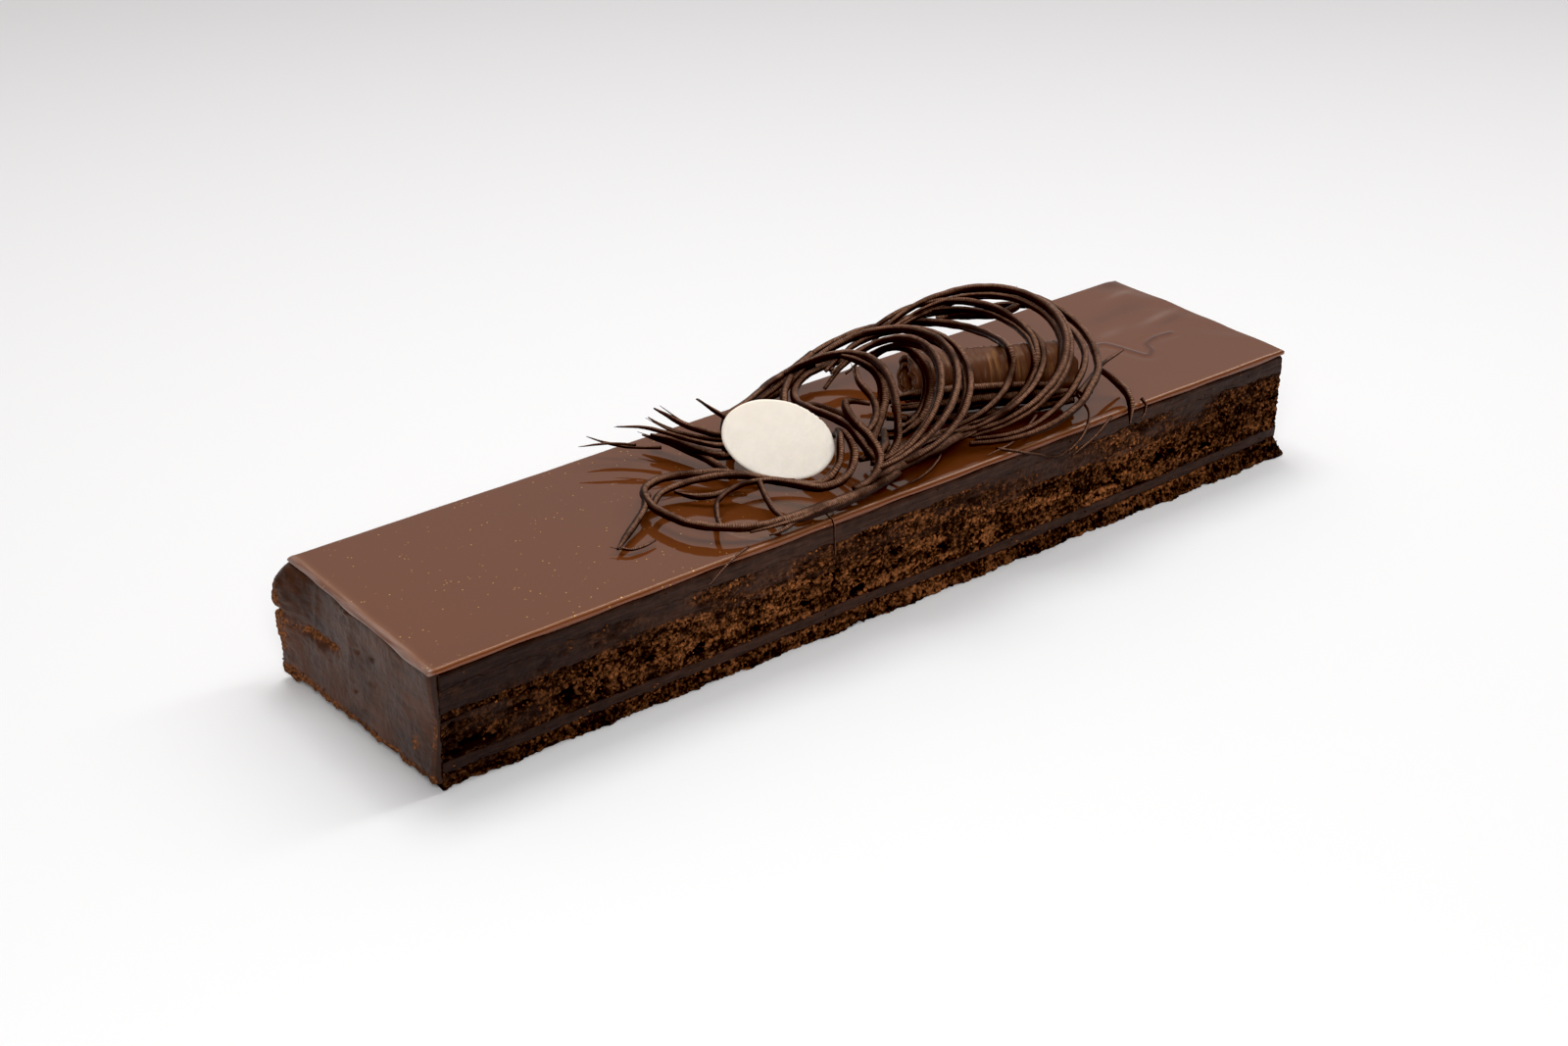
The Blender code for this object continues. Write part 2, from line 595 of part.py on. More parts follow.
def strand(name, line, radii):
    """A few-sided tube along a line. radii: at the start, in the middle and at the end."""
    line = [Vector(point) for point in line]
    count = len(line)
    first, middle, last = (STRAND * share for share in radii)
    sizes = []
    for i in range(count):
        t = i / (count - 1)
        rise = min(t / 0.3, 1.0) if t < 0.5 else min((1 - t) / 0.3, 1.0)
        ends = first if t < 0.5 else last
        sizes.append(ends + (middle - ends) * rise)
    line = laid_over_roll(line, sizes)
    line = [kept_clear(point, size) for point, size in zip(line, sizes)]
    tangent = (line[1] - line[0]).normalized()
    side = tangent.cross(Vector((0.3, 0.2, 1.0))).normalized()
    points, faces = [], []
    for i in range(count):
        ahead = line[min(i + 1, count - 1)] - line[max(i - 1, 0)]
        tangent = ahead.normalized()
        side = (side - tangent * side.dot(tangent)).normalized()
        lift = tangent.cross(side)
        for k in range(SIDES):
            angle = 2 * math.pi * k / SIDES
            ray = side * math.cos(angle) + lift * math.sin(angle)
            points.append(line[i] + ray * sizes[i])
    for i in range(count - 1):
        for k in range(SIDES):
            j = (k + 1) % SIDES
            a, b = i * SIDES, (i + 1) * SIDES
            faces.append((a + k, a + j, b + j, b + k))
    faces.append(tuple(reversed(range(SIDES))))
    faces.append(tuple(range((count - 1) * SIDES, count * SIDES)))
    return solid(name, points, faces)


def fused(name, pieces):
    """One body from pieces that run into each other; a scrap that touches nothing is dropped."""
    heap = bpy.data.collections.new(name + "_pieces")
    bpy.context.scene.collection.children.link(heap)
    for piece in pieces[1:]:
        bpy.context.scene.collection.objects.unlink(piece)
        heap.objects.link(piece)
    union = pieces[0].modifiers.new("join", "BOOLEAN")
    union.operation = "UNION"
    union.operand_type = "COLLECTION"
    union.collection = heap
    union.solver = "MANIFOLD"
    graph = bpy.context.evaluated_depsgraph_get()
    mesh = bpy.data.meshes.new_from_object(pieces[0].evaluated_get(graph))
    for piece in pieces:
        bpy.data.objects.remove(piece, do_unlink=True)
    bpy.data.collections.remove(heap)
    bm = bmesh.new()
    bm.from_mesh(mesh)
    bmesh.ops.triangulate(bm, faces=bm.faces)
    todo, bodies = set(bm.verts), []
    while todo:
        stack, body = [todo.pop()], set()
        while stack:
            vert = stack.pop()
            body.add(vert)
            for edge in vert.link_edges:
                other = edge.other_vert(vert)
                if other in todo:
                    todo.discard(other)
                    stack.append(other)
        bodies.append(body)
    bodies.sort(key=len)
    print(name, "bodies:", [len(body) for body in bodies])
    for body in bodies[:-1]:
        bmesh.ops.delete(bm, geom=list(body), context="VERTS")
    bm.to_mesh(mesh)
    bm.free()
    mesh.name = name
    made = bpy.data.objects.new(name, mesh)
    bpy.context.scene.collection.objects.link(made)
    return made


def curls():
    """The nest: turns of a fallen coil and broken strands, fused where they touch."""
    pieces = []
    for index, (centre, radius, lean, low, start, sweep, size) in enumerate(TURNS):
        line = turn_line(centre, radius, lean, low, start, sweep)
        pieces.append(strand(f"turn_{index}", line, (0.6 * size, size, 0.6 * size)))
    for index, (course, first, middle, last) in enumerate(COURSES):
        pieces.append(strand(f"strand_{index}", spline(course), (first, middle, last)))
    made = fused("curls", pieces)
    material(made, (0.045, 0.018, 0.010), 0.35)
    return made


def centred(objects):
    """Shifts everything so that the middle of the underside is the origin."""
    spots = [obj.matrix_world @ vert.co for obj in objects for vert in obj.data.vertices]
    low = Vector([min(spot[i] for spot in spots) for i in range(3)])
    high = Vector([max(spot[i] for spot in spots) for i in range(3)])
    shift = Vector((-(low.x + high.x) / 2, -(low.y + high.y) / 2, -low.z))
    print("shift", [round(value / MM, 2) for value in shift])
    print("box", [round(value / MM, 2) for value in high - low])
    for obj in objects:
        for vert in obj.data.vertices:
            vert.co += shift


def main():
    for obj in list(bpy.data.objects):
        bpy.data.objects.remove(obj, do_unlink=True)
    base = top_of(BASE_TOP, 1)
    lower = top_of(LOWER_GANACHE_TOP, 1.3)
    middle = top_of(MIDDLE_SPONGE_TOP, 2, 0.4)
    filling = top_of(MIDDLE_GANACHE_TOP, 2.2, 0.4)
    upper = top_of(TOP_SPONGE_TOP, 3, 0.0)
    under_glaze = flat(TOP_GANACHE_TOP)
    sponge("sponge_base", flat(0.0), base, 2, 11, foot=True)
    ganache("ganache_lower", above(base), lower, 0.1)
    sponge("sponge_middle", above(lower), middle, 4, 12)
    ganache("ganache_middle", above(middle), filling, -0.3)
    sponge("sponge_top", above(filling), upper, 3, 13)
    ganache("ganache_top", above(upper), under_glaze, 0.1)
    glaze_sheet(above(under_glaze))
    end_coat(under_glaze)
    chocolate_roll()
    plaque()
    curls()
    centred(list(bpy.data.objects))


main()
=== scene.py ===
import math
import random

import bmesh
import bpy
import numpy as np
from mathutils import Matrix, Vector


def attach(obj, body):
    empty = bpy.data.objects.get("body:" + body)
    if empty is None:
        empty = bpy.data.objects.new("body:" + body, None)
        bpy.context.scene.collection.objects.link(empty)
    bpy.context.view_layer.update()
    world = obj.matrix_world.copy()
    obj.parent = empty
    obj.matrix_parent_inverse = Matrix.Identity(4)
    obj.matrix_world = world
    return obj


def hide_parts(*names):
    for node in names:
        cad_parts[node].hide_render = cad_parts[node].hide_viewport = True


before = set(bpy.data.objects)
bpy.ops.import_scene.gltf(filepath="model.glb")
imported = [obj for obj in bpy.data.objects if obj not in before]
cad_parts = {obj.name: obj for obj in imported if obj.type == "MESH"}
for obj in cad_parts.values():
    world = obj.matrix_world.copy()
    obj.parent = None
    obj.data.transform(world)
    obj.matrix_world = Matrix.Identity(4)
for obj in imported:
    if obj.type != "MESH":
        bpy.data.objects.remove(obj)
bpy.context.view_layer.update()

bl_info = {
    "name": "Layered brownie cake",
    "version": (1, 0, 0),
    "blender": (4, 5, 0),
    "location": "3D View > Sidebar > Cake",
    "description": "Finishes a glazed brownie cake: crumb, ganache, glaze and a nest of chocolate curls",
    "category": "Add Mesh",
}

MM = 0.001
SHIFT = np.array([0.55, -0.65, 0.0])  # from the middle of the design to the part's origin, in mm

# The cake's body and its layers, in millimetres, as in the solids.
LENGTH, WIDTH, HEIGHT = 390.0, 90.0, 45.0
COAT, SKEW, LEAN = 2.9, 5.4, 4.6
BASE_TOP, LOWER_GANACHE_TOP, MIDDLE_SPONGE_TOP = 6.4, 10.4, 24.8
MIDDLE_GANACHE_TOP, TOP_SPONGE_TOP, TOP_GANACHE_TOP = 27.4, 36.2, 42.2
FOOT, FOOT_STEP = 3.4, 2.6
FRONT_FACE, FRONT_SPREAD, BACK_FACE, BACK_SPREAD = -45.1, 0.8, 44.8, 0.5
COAT_FRONT, COAT_BACK = -44.9, 44.7
LIP, ROLL_OVER = 0.6, 1.1

# The rolled cigarette, the plaque and the strands of the nest.
ROLL_RADIUS, ROLL_SHEET, ROLL_TURNS, ROLL_PITCH, ROLL_START = 10.3, 1.5, 2.1, 2.6, -60.0
ROLL_LEFT, ROLL_RIGHT = (38.0, -1.0, 59.2), (96.0, -25.0, 58.0)
PLAQUE_LONG, PLAQUE_SHORT, PLAQUE_THICK = 39.0, 28.0, 2.0
PLAQUE_AT, PLAQUE_FACES, PLAQUE_TURN = (-29.5, -10.5, 60.0), (-0.52, -0.66, 0.54), 5.0
STRAND, STEP, FLOAT, CLEARANCE = 1.45, 9.5, 0.35, 0.25
SLIM = 1.03  # thickness of a finished strand against the plain solid's
SLIPPED = (-0.57, -0.66, 0.47)  # the way a strand gives when it lies over the roll
DRAWN_AND_SHEEN = (0.24, 0.15, 0.12)  # the paler glaze the knife drew along the left edge, paler still as a painted sheen; also the painted sheen near the fold
PAINTED_LIP_HIGHLIGHT = (0.38, 0.18, 0.09)  # painted highlight where the glaze rounds over its edge
PAINTED_HIGHLIGHT_SIDE = (0.20, -0.45, 0.87)  # where the dusty crest of a strand faces: a painted highlight on one fixed side
SEED_STEP = (0.371, 0.113, 0.247)  # how far one step of a seed moves a pattern, in metres
BACKWARDS = (0.64, 0.77, 0.0)  # level, from the camera to the backdrop

# Turns of the fallen coil: centre, radius, lean, low side, start, sweep (degrees), thickness.
TURNS = (
    ((61, 4, 58.5), 33, 22, 211, 236, 235, 1.00),
    ((54, 2, 57.3), 40, 15.7, 179, 236, 245, 0.95),
    ((43, 9, 55.0), 41, 11, 177, 240, 245, 1.05),
    ((63, -4, 62.5), 38, 24, 190, 225, 245, 1.05),
    ((64, -4, 61.3), 39, 24, 190, 228, 225, 0.90),
    ((8, -12, 64.0), 35, 30, 177, 230, 240, 1.05),
    ((18, -14, 63.5), 30, 34, 190, 222, 235, 1.00),
    ((8, -18, 65.0), 27.5, 44, 172, 222, 231, 0.95),
    ((25, -8, 61.5), 16.5, 62, 186, 192, 240, 1.10),
)

DOUBLE = (0, 3, 6, 7, 8)  # turns that have a second strand beside them

# Strands with a course of their own: points, then thickness at the start, middle and end.
COURSES = (
    # the flat loop on the glaze in front of the plaque
    (((-14.5, -24.5, 64.2), (-17.5, -28.5, 66.6), (-21, -33, 64.5), (-24.5, -36.5, 59.5),
      (-28, -37, 55), (-32, -33, 52.5), (-40, -20, 51.5), (-48, -5, 51), (-59, 2, 51),
      (-70, 5, 51), (-79, 1, 50.5), (-82, -10, 50), (-80, -25, 50), (-72, -35, 49.8),
      (-61, -41, 49.5), (-45, -42, 49), (-31, -42, 48.5), (-10, -41, 48.5)), 0.9, 1.0, 1.2),
    (((-82, -8, 50.2), (-72, -2, 50.5), (-62, -3, 51), (-49, -8, 51.5), (-38, -24, 52.2)),
     0.7, 0.9, 0.8),
    (((-73, -34, 49.6), (-64, -20, 49.5), (-54, -15, 50.5), (-44, -18, 51.8), (-36, -27, 52.4)),
     0.6, 0.65, 0.8),
    (((-68, -2, 48.6), (-64, -5, 48), (-63, -10, 48), (-57, -13, 49), (-50, -15, 50.6)),
     0.3, 0.8, 0.7),
    (((-44, -18, 51.6), (-49, -29, 49.8), (-51, -37, 48.6), (-52, -41, 49)), 0.8, 0.7, 0.6),
    (((-79, -1, 50.5), (-86, -8, 49), (-94, -13, 48), (-106, -21, 47)), 1.0, 0.9, 0.3),
    (((-105, -20.5, 47.1), (-105, -23, 46.9), (-98, -24, 46.7), (-92, -23, 46.6)),
     0.35, 0.35, 0.2),
    # the thick strands that turn down beside the plaque
    (((-13.5, -21, 61), (-14.5, -25.5, 65), (-16.5, -30.5, 65.8), (-17, -34, 64),
      (-18, -38, 59), (-23, -39, 55), (-31, -37, 52.6), (-36, -29, 52.2), (-41, -19, 51.6)),
     0.7, 1.05, 0.8),
    (((26, 14, 67), (20, 18, 65), (14.5, 22, 62.5), (8, 22, 60.5), (1.5, 18, 59.5), (-3.5, 11, 59.5),
      (-6, 0, 61), (-5, -12, 61.5), (-5, -22, 60), (-5, -30, 55), (-4, -35, 51)), 0.6, 1.0, 0.9),
    (((3, -21, 68), (-2, -17, 69), (-6, -17, 69), (-7, -23, 66), (-6, -31, 62), (-7, -38, 57),
      (-11, -41, 53), (-21, -41, 50)), 0.4, 1.15, 0.9),
    (((13, 6, 74), (14, 0, 74.5), (15, -6, 74), (16, -11, 71.5), (14, -16, 67), (10, -19, 62),
      (2, -24, 56), (-4, -30, 53)), 0.6, 1.3, 0.9),
    (((11, -4, 74), (6.5, -10.5, 72.5), (5.5, -15.5, 70.5), (5.5, -20, 68.5), (2.5, -25, 66),
      (-1.5, -28, 63.5), (-6.5, -29.5, 62)), 0.4, 0.9, 0.6),
    # strands that lie under the roll
    (((30, 8, 48.2), (46, 3, 49.4), (62, -4, 49.2), (78, -12, 49), (96, -20, 47.6)), 0.7, 1.2, 0.6),
    (((34, 2, 47.6), (50, -5, 47.4), (66, -12, 47.6), (84, -20, 47.4), (100, -27, 47.2)), 0.6, 1.3, 0.6),
    (((36, -4, 47), (52, -12, 48.6), (70, -19, 48.8), (88, -27, 48.4), (102, -31, 47.8)), 0.7, 1.2, 0.7),
    (((28, -2, 48.5), (42, -12, 47.3), (58, -19, 47), (76, -27, 47.6), (92, -33, 48.6)), 0.7, 1.1, 0.8),
    # the big outer strand on the left of the coil, and the tails of two turns at the back
    (((-9, 31, 53), (-3, 31, 57), (4, 27, 62), (9, 19, 68), (13, 10, 73), (16, -1, 76),
      (15, -13, 76), (10, -25, 73), (5, -33, 67), (2, -36, 58), (-3, -35, 51.5)),
     0.6, 1.05, 0.9),
    (((-9, 33, 52), (7, 39, 52.5), (24, 45, 52.5), (36, 49, 53.5)), 0.7, 1.0, 1.1),
    (((-6, 29, 53.5), (1, 28, 57), (8, 27, 61), (16, 24, 64)), 0.6, 0.9, 1.0),
    (((-14, 27, 51), (-4, 31, 52), (10, 34, 53), (26, 38, 54), (44, 40, 55)), 0.9, 1.5, 1.0),
    # the broad broken band along the front edge, and the torn ends on it
    (((-66, -39, 49), (-53, -42, 49), (-38, -43, 49), (-17, -42.5, 49), (0, -40, 50)),
     0.5, 1.5, 1.1),
    (((-44, -42, 49), (-50, -44, 48.5), (-56, -45, 47.6), (-61, -44.5, 47.2)), 0.9, 0.6, 0.2),
    # the bundle where the turns come together at the front
    (((-12, -39, 50), (0, -38, 50.5), (12, -36, 50.5), (28, -34, 50.5), (44, -32, 51)),
     0.8, 1.6, 1.0),
    (((-6, -33, 52.5), (6, -33, 53.5), (18, -31, 53), (32, -29, 51.5), (44, -27, 49.5)),
     0.7, 1.4, 0.8),
    (((-4, -24, 50), (6, -26, 50.5), (18, -27, 50.5), (34, -29, 50)), 0.8, 1.3, 0.9),
    (((0, -30, 53), (8, -24, 52), (14, -17, 49), (20, -10, 48.5)), 0.8, 1.2, 0.9),
    # the fan of broken points behind the plaque's left side
    (((-62, 39, 56), (-56, 35, 56), (-50, 26, 55), (-42, 10, 54), (-32, 5, 54)), 0.15, 0.6, 1.0),
    (((-50, 33, 62), (-46, 24, 59), (-40, 12, 57), (-30, 6, 56)), 0.2, 0.8, 1.0),
    (((-51, 35, 58), (-48, 27, 55.5), (-42, 14, 55), (-31, 6, 54.5)), 0.15, 0.6, 0.9),
    (((-39, 23, 66), (-35, 16, 62), (-30, 10, 58.5), (-22, 8, 57)), 0.2, 0.6, 0.8),
    (((-50, 35, 51), (-45, 24, 50.5), (-42, 8, 50.5), (-30, 3, 52)), 0.4, 1.2, 1.3),
    (((-50, 40, 49), (-46, 27, 49), (-44, 10, 49), (-46, -4, 49.8), (-48, -8, 51)),
     0.2, 1.0, 0.9),
    (((-38, 10, 56), (-30, 17, 60), (-21, 17, 62), (-8, 24, 61), (4, 27, 62)), 0.5, 0.7, 0.9),
    (((-40, 6, 53), (-22, 8, 55), (-8, 12, 58), (-3, 18, 61), (5, 24, 62)), 0.9, 1.0, 0.9),
    (((-34, 8, 55), (-14, 12, 57), (2, 8, 57), (12, -2, 52), (15, -14, 48.5)), 0.9, 1.0, 0.9),
    (((-34, 6, 53), (-28, 18, 52), (-18, 26, 51), (-6, 30, 52)), 0.9, 1.1, 0.9),
    # the two outermost turns, which tuck in under the others at the top
    (((39.5, -33.5, 46.7), (47.5, -39.5, 47.5), (56.5, -44, 49), (67, -46.5, 51), (79.5, -46.5, 54),
      (90.5, -42.5, 57.7), (99.5, -37, 60.8), (105, -29.3, 63.7), (109.3, -20, 66.3),
      (111, -10.5, 68.5), (111, -0.5, 70.2), (108.5, 8.5, 71.3), (104, 17, 71.7), (97, 23, 71),
      (88.6, 25.8, 69.4), (79.7, 28, 67.7), (70.3, 29.8, 65.6), (62.9, 30.6, 64), (57, 30.4, 62.5)),
     0.6, 1.05, 0.5),
    (((41.5, -34, 48.2), (48, -39, 49), (57, -43, 50.6), (70, -43.5, 53.8), (82.5, -40.3, 57.6),
      (94, -34.5, 61.5), (101, -27, 64.5), (105, -17, 67.2), (106, -6.5, 69.3), (105, 3.5, 70.8),
      (101.5, 12.7, 71.4), (95.5, 19.7, 71.1), (90, 24.6, 70.6), (82, 28, 69.1), (73, 30, 67.2),
      (66, 31, 65.5), (60, 31, 64)), 0.5, 0.9, 0.5),
    # broken strands at the right end of the nest
    (((84, -43, 57), (100, -34, 56.5), (113, -27, 55.5), (128, -22.5, 55)), 0.8, 0.55, 0.3),
    (((107, -30.5, 56), (109, -32.5, 54), (111.3, -34.3, 52), (112, -37, 50.3), (111, -41, 49),
      (109, -45.5, 47.6), (108, -47.4, 44), (107.6, -47.2, 39.5)), 0.7, 1.05, 0.2),
    (((83, -43, 57), (86, -45.5, 53), (85, -48, 47), (81, -48.8, 43), (74, -49, 39)),
     0.45, 0.35, 0.25),
    (((110, -2, 70), (104, 12, 68), (96, 22, 65), (82, 31, 61.5)), 0.5, 0.9, 0.9),
    (((108, 14, 71.5), (99, 6, 70), (92, 10, 68), (84, 26, 64)), 0.4, 1.1, 0.9),
)

# Hair-thin threads that hang over the front face or lie on the glaze.
THREADS = (
    (((-70, -44.5, 46), (-78, -46.2, 44.8), (-84, -46.3, 41), (-88, -46.0, 38)), 0.30, 0.28, 0.1),
    (((-36, -44.0, 47), (-34.5, -46.2, 44.5), (-34, -46.2, 37), (-33, -46.0, 28)), 0.25, 0.2, 0.08),
    (((44, -43.0, 47), (52, -46.2, 44.5), (62, -46.5, 40.5), (67, -46.4, 38), (73, -46.3, 36.6),
      (79, -46.4, 39.0), (85, -46.4, 42.3)), 0.4, 0.34, 0.12),
    (((79, -46.2, 35), (86, -46.8, 38), (92, -47.4, 41.5), (97, -47.5, 46)), 0.12, 0.36, 0.4),
    (((116, -44.2, 46.6), (116.5, -46.4, 45), (116, -46.5, 42), (114.5, -46.3, 39)), 0.5, 0.4, 0.1),
    (((-60, 30, 52), (-68, 36, 52.5), (-77, 41, 52)), 0.4, 0.3, 0.08),
    (((-52, 26, 50), (-60, 34, 49.5), (-66, 41, 50.5), (-70, 46, 52)), 0.5, 0.4, 0.1),
    (((30, -30, 49), (20, -38, 47.6), (8, -42.5, 46.6), (-6, -44, 46.4)), 0.4, 0.3, 0.1),
    (((70, -36, 50), (60, -40, 48), (50, -43, 46.8), (38, -44, 46.4)), 0.4, 0.35, 0.1),
)


# ------------------------------------------------------------------ node trees
# Inside the trees, lengths are metres and the scale of a pattern is its repeats per metre.

class Wire:
    """What flows out of a node. Sums and products of wires add the nodes that work them out."""

    def __init__(self, graph, socket):
        self.graph, self.socket = graph, socket

    def __add__(self, other):
        return self.graph.math("ADD", self, other)

    def __mul__(self, other):
        return self.graph.math("MULTIPLY", self, other)

    def __sub__(self, other):
        return self.graph.math("SUBTRACT", self, other)

    def __rsub__(self, other):
        return self.graph.math("SUBTRACT", other, self)

    def __rtruediv__(self, other):
        return self.graph.math("DIVIDE", other, self)

    __radd__, __rmul__ = __add__, __mul__


class Graph:
    """Short ways to add nodes to one tree and join them."""

    def __init__(self, tree):
        self.tree = tree

    def put(self, socket, value):
        """Joins an input to a wire, or sets it to a plain value."""
        if isinstance(value, Wire):
            self.tree.links.new(value.socket, socket)
        else:
            socket.default_value = value

    def add(self, kind, sockets=None, out=0, **settings):
        """Adds a node and returns one of its outputs; sockets maps inputs to values or wires."""
        made = self.tree.nodes.new(kind)
        for key, value in settings.items():
            setattr(made, key, value)
        for key, value in (sockets or {}).items():
            self.put(made.inputs[key], value)
        return Wire(self, made.outputs[out])

    def math(self, operation, *values):
        return self.add("ShaderNodeMath", dict(enumerate(values)), operation=operation)

    def vector(self, operation, *values, out=0):
        return self.add("ShaderNodeVectorMath", dict(enumerate(values)), out, operation=operation)

    def scaled(self, vector, amount):
        return self.add("ShaderNodeVectorMath", {0: vector, 3: amount}, operation="SCALE")

    def stretched(self, vector, amounts):
        return self.vector("MULTIPLY", vector, amounts)

    def shifted(self, vector, offset):
        return self.vector("ADD", vector, offset)

    def dot(self, a, b):
        return self.vector("DOT_PRODUCT", a, b, out="Value")

    def axis(self, vector, letter):
        return self.add("ShaderNodeSeparateXYZ", {0: vector}, letter)

    def ramp(self, value, low, high, to_low=0.0, to_high=1.0):
        """A soft step from to_low to to_high, as the value goes from low to high."""
        return self.add("ShaderNodeMapRange", {0: value, 1: low, 2: high, 3: to_low, 4: to_high},
                        interpolation_type="SMOOTHSTEP")

    def noise(self, vector, scale, detail=2.0, roughness=0.5, out=0):
        return self.add("ShaderNodeTexNoise", {
            "Vector": vector, "Scale": scale, "Detail": detail, "Roughness": roughness}, out)

    def wobble(self, vector, scale, detail):
        """A push this way or that, different at each place."""
        return self.vector("SUBTRACT", self.noise(vector, scale, detail, out=1), (0.5, 0.5, 0.5))

    def cells(self, vector, scale):
        return self.add("ShaderNodeTexVoronoi", {"Vector": vector, "Scale": scale}, "Distance")

    def attribute(self, name):
        return self.add("ShaderNodeAttribute", out="Fac", attribute_name=name)

    def named(self, name, kind="FLOAT"):
        return self.add("GeometryNodeInputNamedAttribute", {"Name": name}, data_type=kind)

    def random(self, least, most, seed):
        return self.add("FunctionNodeRandomValue", {"Min": least, "Max": most, "Seed": seed},
                        data_type="FLOAT_VECTOR")

    def colour(self, factor, a, b):
        """Mixes two colours, each a wire or three numbers."""
        a, b = (one if isinstance(one, Wire) else (*one, 1.0) for one in (a, b))
        return self.add("ShaderNodeMix", {0: factor, 6: a, 7: b}, out=2, data_type="RGBA")

    def tones(self, value, stops):
        """A colour ramp: stops are (place, colour)."""
        made = self.tree.nodes.new("ShaderNodeValToRGB")
        ramp = made.color_ramp
        while len(ramp.elements) < len(stops):
            ramp.elements.new(1.0)
        for element, (place, colour) in zip(ramp.elements, stops):
            element.position = place
            element.color = (*colour, 1.0)
        self.put(made.inputs[0], value)
        return Wire(self, made.outputs[0])

    def bump(self, height, distance, strength):
        return self.add("ShaderNodeBump", {
            "Height": height, "Distance": distance, "Strength": strength})

    def store(self, geometry, name, value, kind="FLOAT"):
        return self.add("GeometryNodeStoreNamedAttribute", {
            "Geometry": geometry, "Name": name, "Value": value}, data_type=kind, domain="POINT")

    def moved(self, geometry, offset):
        return self.add("GeometryNodeSetPosition", {"Geometry": geometry, "Offset": offset})

    def above_floor(self, geometry):
        """Lifts whatever sank below the floor back onto it."""
        above = self.vector("MAXIMUM", self.add("GeometryNodeInputPosition"), (-9.0, -9.0, 0.0))
        return self.add("GeometryNodeSetPosition", {"Geometry": geometry, "Position": above})


def opened(name, sizes):
    """A new geometry tree with named inputs and their defaults. Returns it and its inputs."""
    tree = bpy.data.node_groups.new(name, "GeometryNodeTree")
    tree.interface.new_socket("Geometry", in_out="INPUT", socket_type="NodeSocketGeometry")
    for label, value in sizes.items():
        kind = "NodeSocketInt" if isinstance(value, int) else "NodeSocketFloat"
        tree.interface.new_socket(label, in_out="INPUT", socket_type=kind).default_value = value
    tree.interface.new_socket("Material", in_out="INPUT", socket_type="NodeSocketMaterial")
    tree.interface.new_socket("Geometry", in_out="OUTPUT", socket_type="NodeSocketGeometry")
    graph = Graph(tree)
    inputs = tree.nodes.new("NodeGroupInput").outputs
    return graph, {socket.name: Wire(graph, socket) for socket in inputs if socket.name}


def closed(graph, geometry, given):
    """Ends a tree: everything made real, with its finish."""
    real = graph.add("GeometryNodeRealizeInstances", {0: geometry})
    done = graph.add("GeometryNodeSetMaterial", {"Geometry": real, "Material": given["Material"]})
    graph.put(graph.tree.nodes.new("NodeGroupOutput").inputs[0], done)
    return graph.tree


def grown(source, tree, values):
    """Runs a tree on an object and keeps the result as a plain mesh under the same name."""
    name = source.name
    modifier = source.modifiers.new(tree.name, "NODES")
    modifier.node_group = tree
    for item in tree.interface.items_tree:
        if item.item_type == "SOCKET" and item.in_out == "INPUT" and item.name in values:
            modifier[item.identifier] = values[item.name]
    graph = bpy.context.evaluated_depsgraph_get()
    mesh = bpy.data.meshes.new_from_object(
        source.evaluated_get(graph), preserve_all_data_layers=True, depsgraph=graph)
    bpy.data.objects.remove(source, do_unlink=True)
    mesh.name = name
    made = bpy.data.objects.new(name, mesh)
    bpy.context.scene.collection.objects.link(made)
    if not mesh.polygons:
        raise RuntimeError(name + " came out empty")
    return made


def seeded(graph, given):
    """Each place, and the same moved by the seed, so that no two pieces share a pattern."""
    place = graph.add("GeometryNodeInputPosition")
    return place, graph.shifted(place, graph.scaled(SEED_STEP, given["Seed"]))


def strewn(graph, given, mesh, share, least, most, turned=True):
    """Loose crumbs on a mesh, as close together as share says, between two sizes."""
    seed = given["Seed"]
    points = graph.add("GeometryNodeDistributePointsOnFaces", {
        "Mesh": mesh, "Density": share * given["Crumbs"], "Seed": seed})
    ball = graph.add("GeometryNodeMeshIcoSphere", {
        "Radius": given["Crumb size"], "Subdivisions": 1})
    sockets = {"Points": points, "Instance": ball, "Scale": graph.random(least, most, seed)}
    if turned:
        sockets["Rotation"] = graph.random((0.0, 0.0, 0.0), (6.28, 6.28, 6.28), seed)
    crumbs = graph.add("GeometryNodeInstanceOnPoints", sockets)
    return graph.add("GeometryNodeRealizeInstances", {0: crumbs})


def with_crumbs(graph, given, mesh, crumbs, relief, smeared):
    """Ends a tree with the mesh and its crumbs, which get their own relief and smear."""
    crumbs = graph.store(graph.store(crumbs, "relief", relief), "smeared", smeared)
    crumbs = graph.add("GeometryNodeSetShadeSmooth", {0: crumbs})
    joined = graph.tree.nodes.new("GeometryNodeJoinGeometry")
    for part in (crumbs, mesh):
        graph.put(joined.inputs[0], part)
    return closed(graph, Wire(graph, joined.outputs[0]), given)


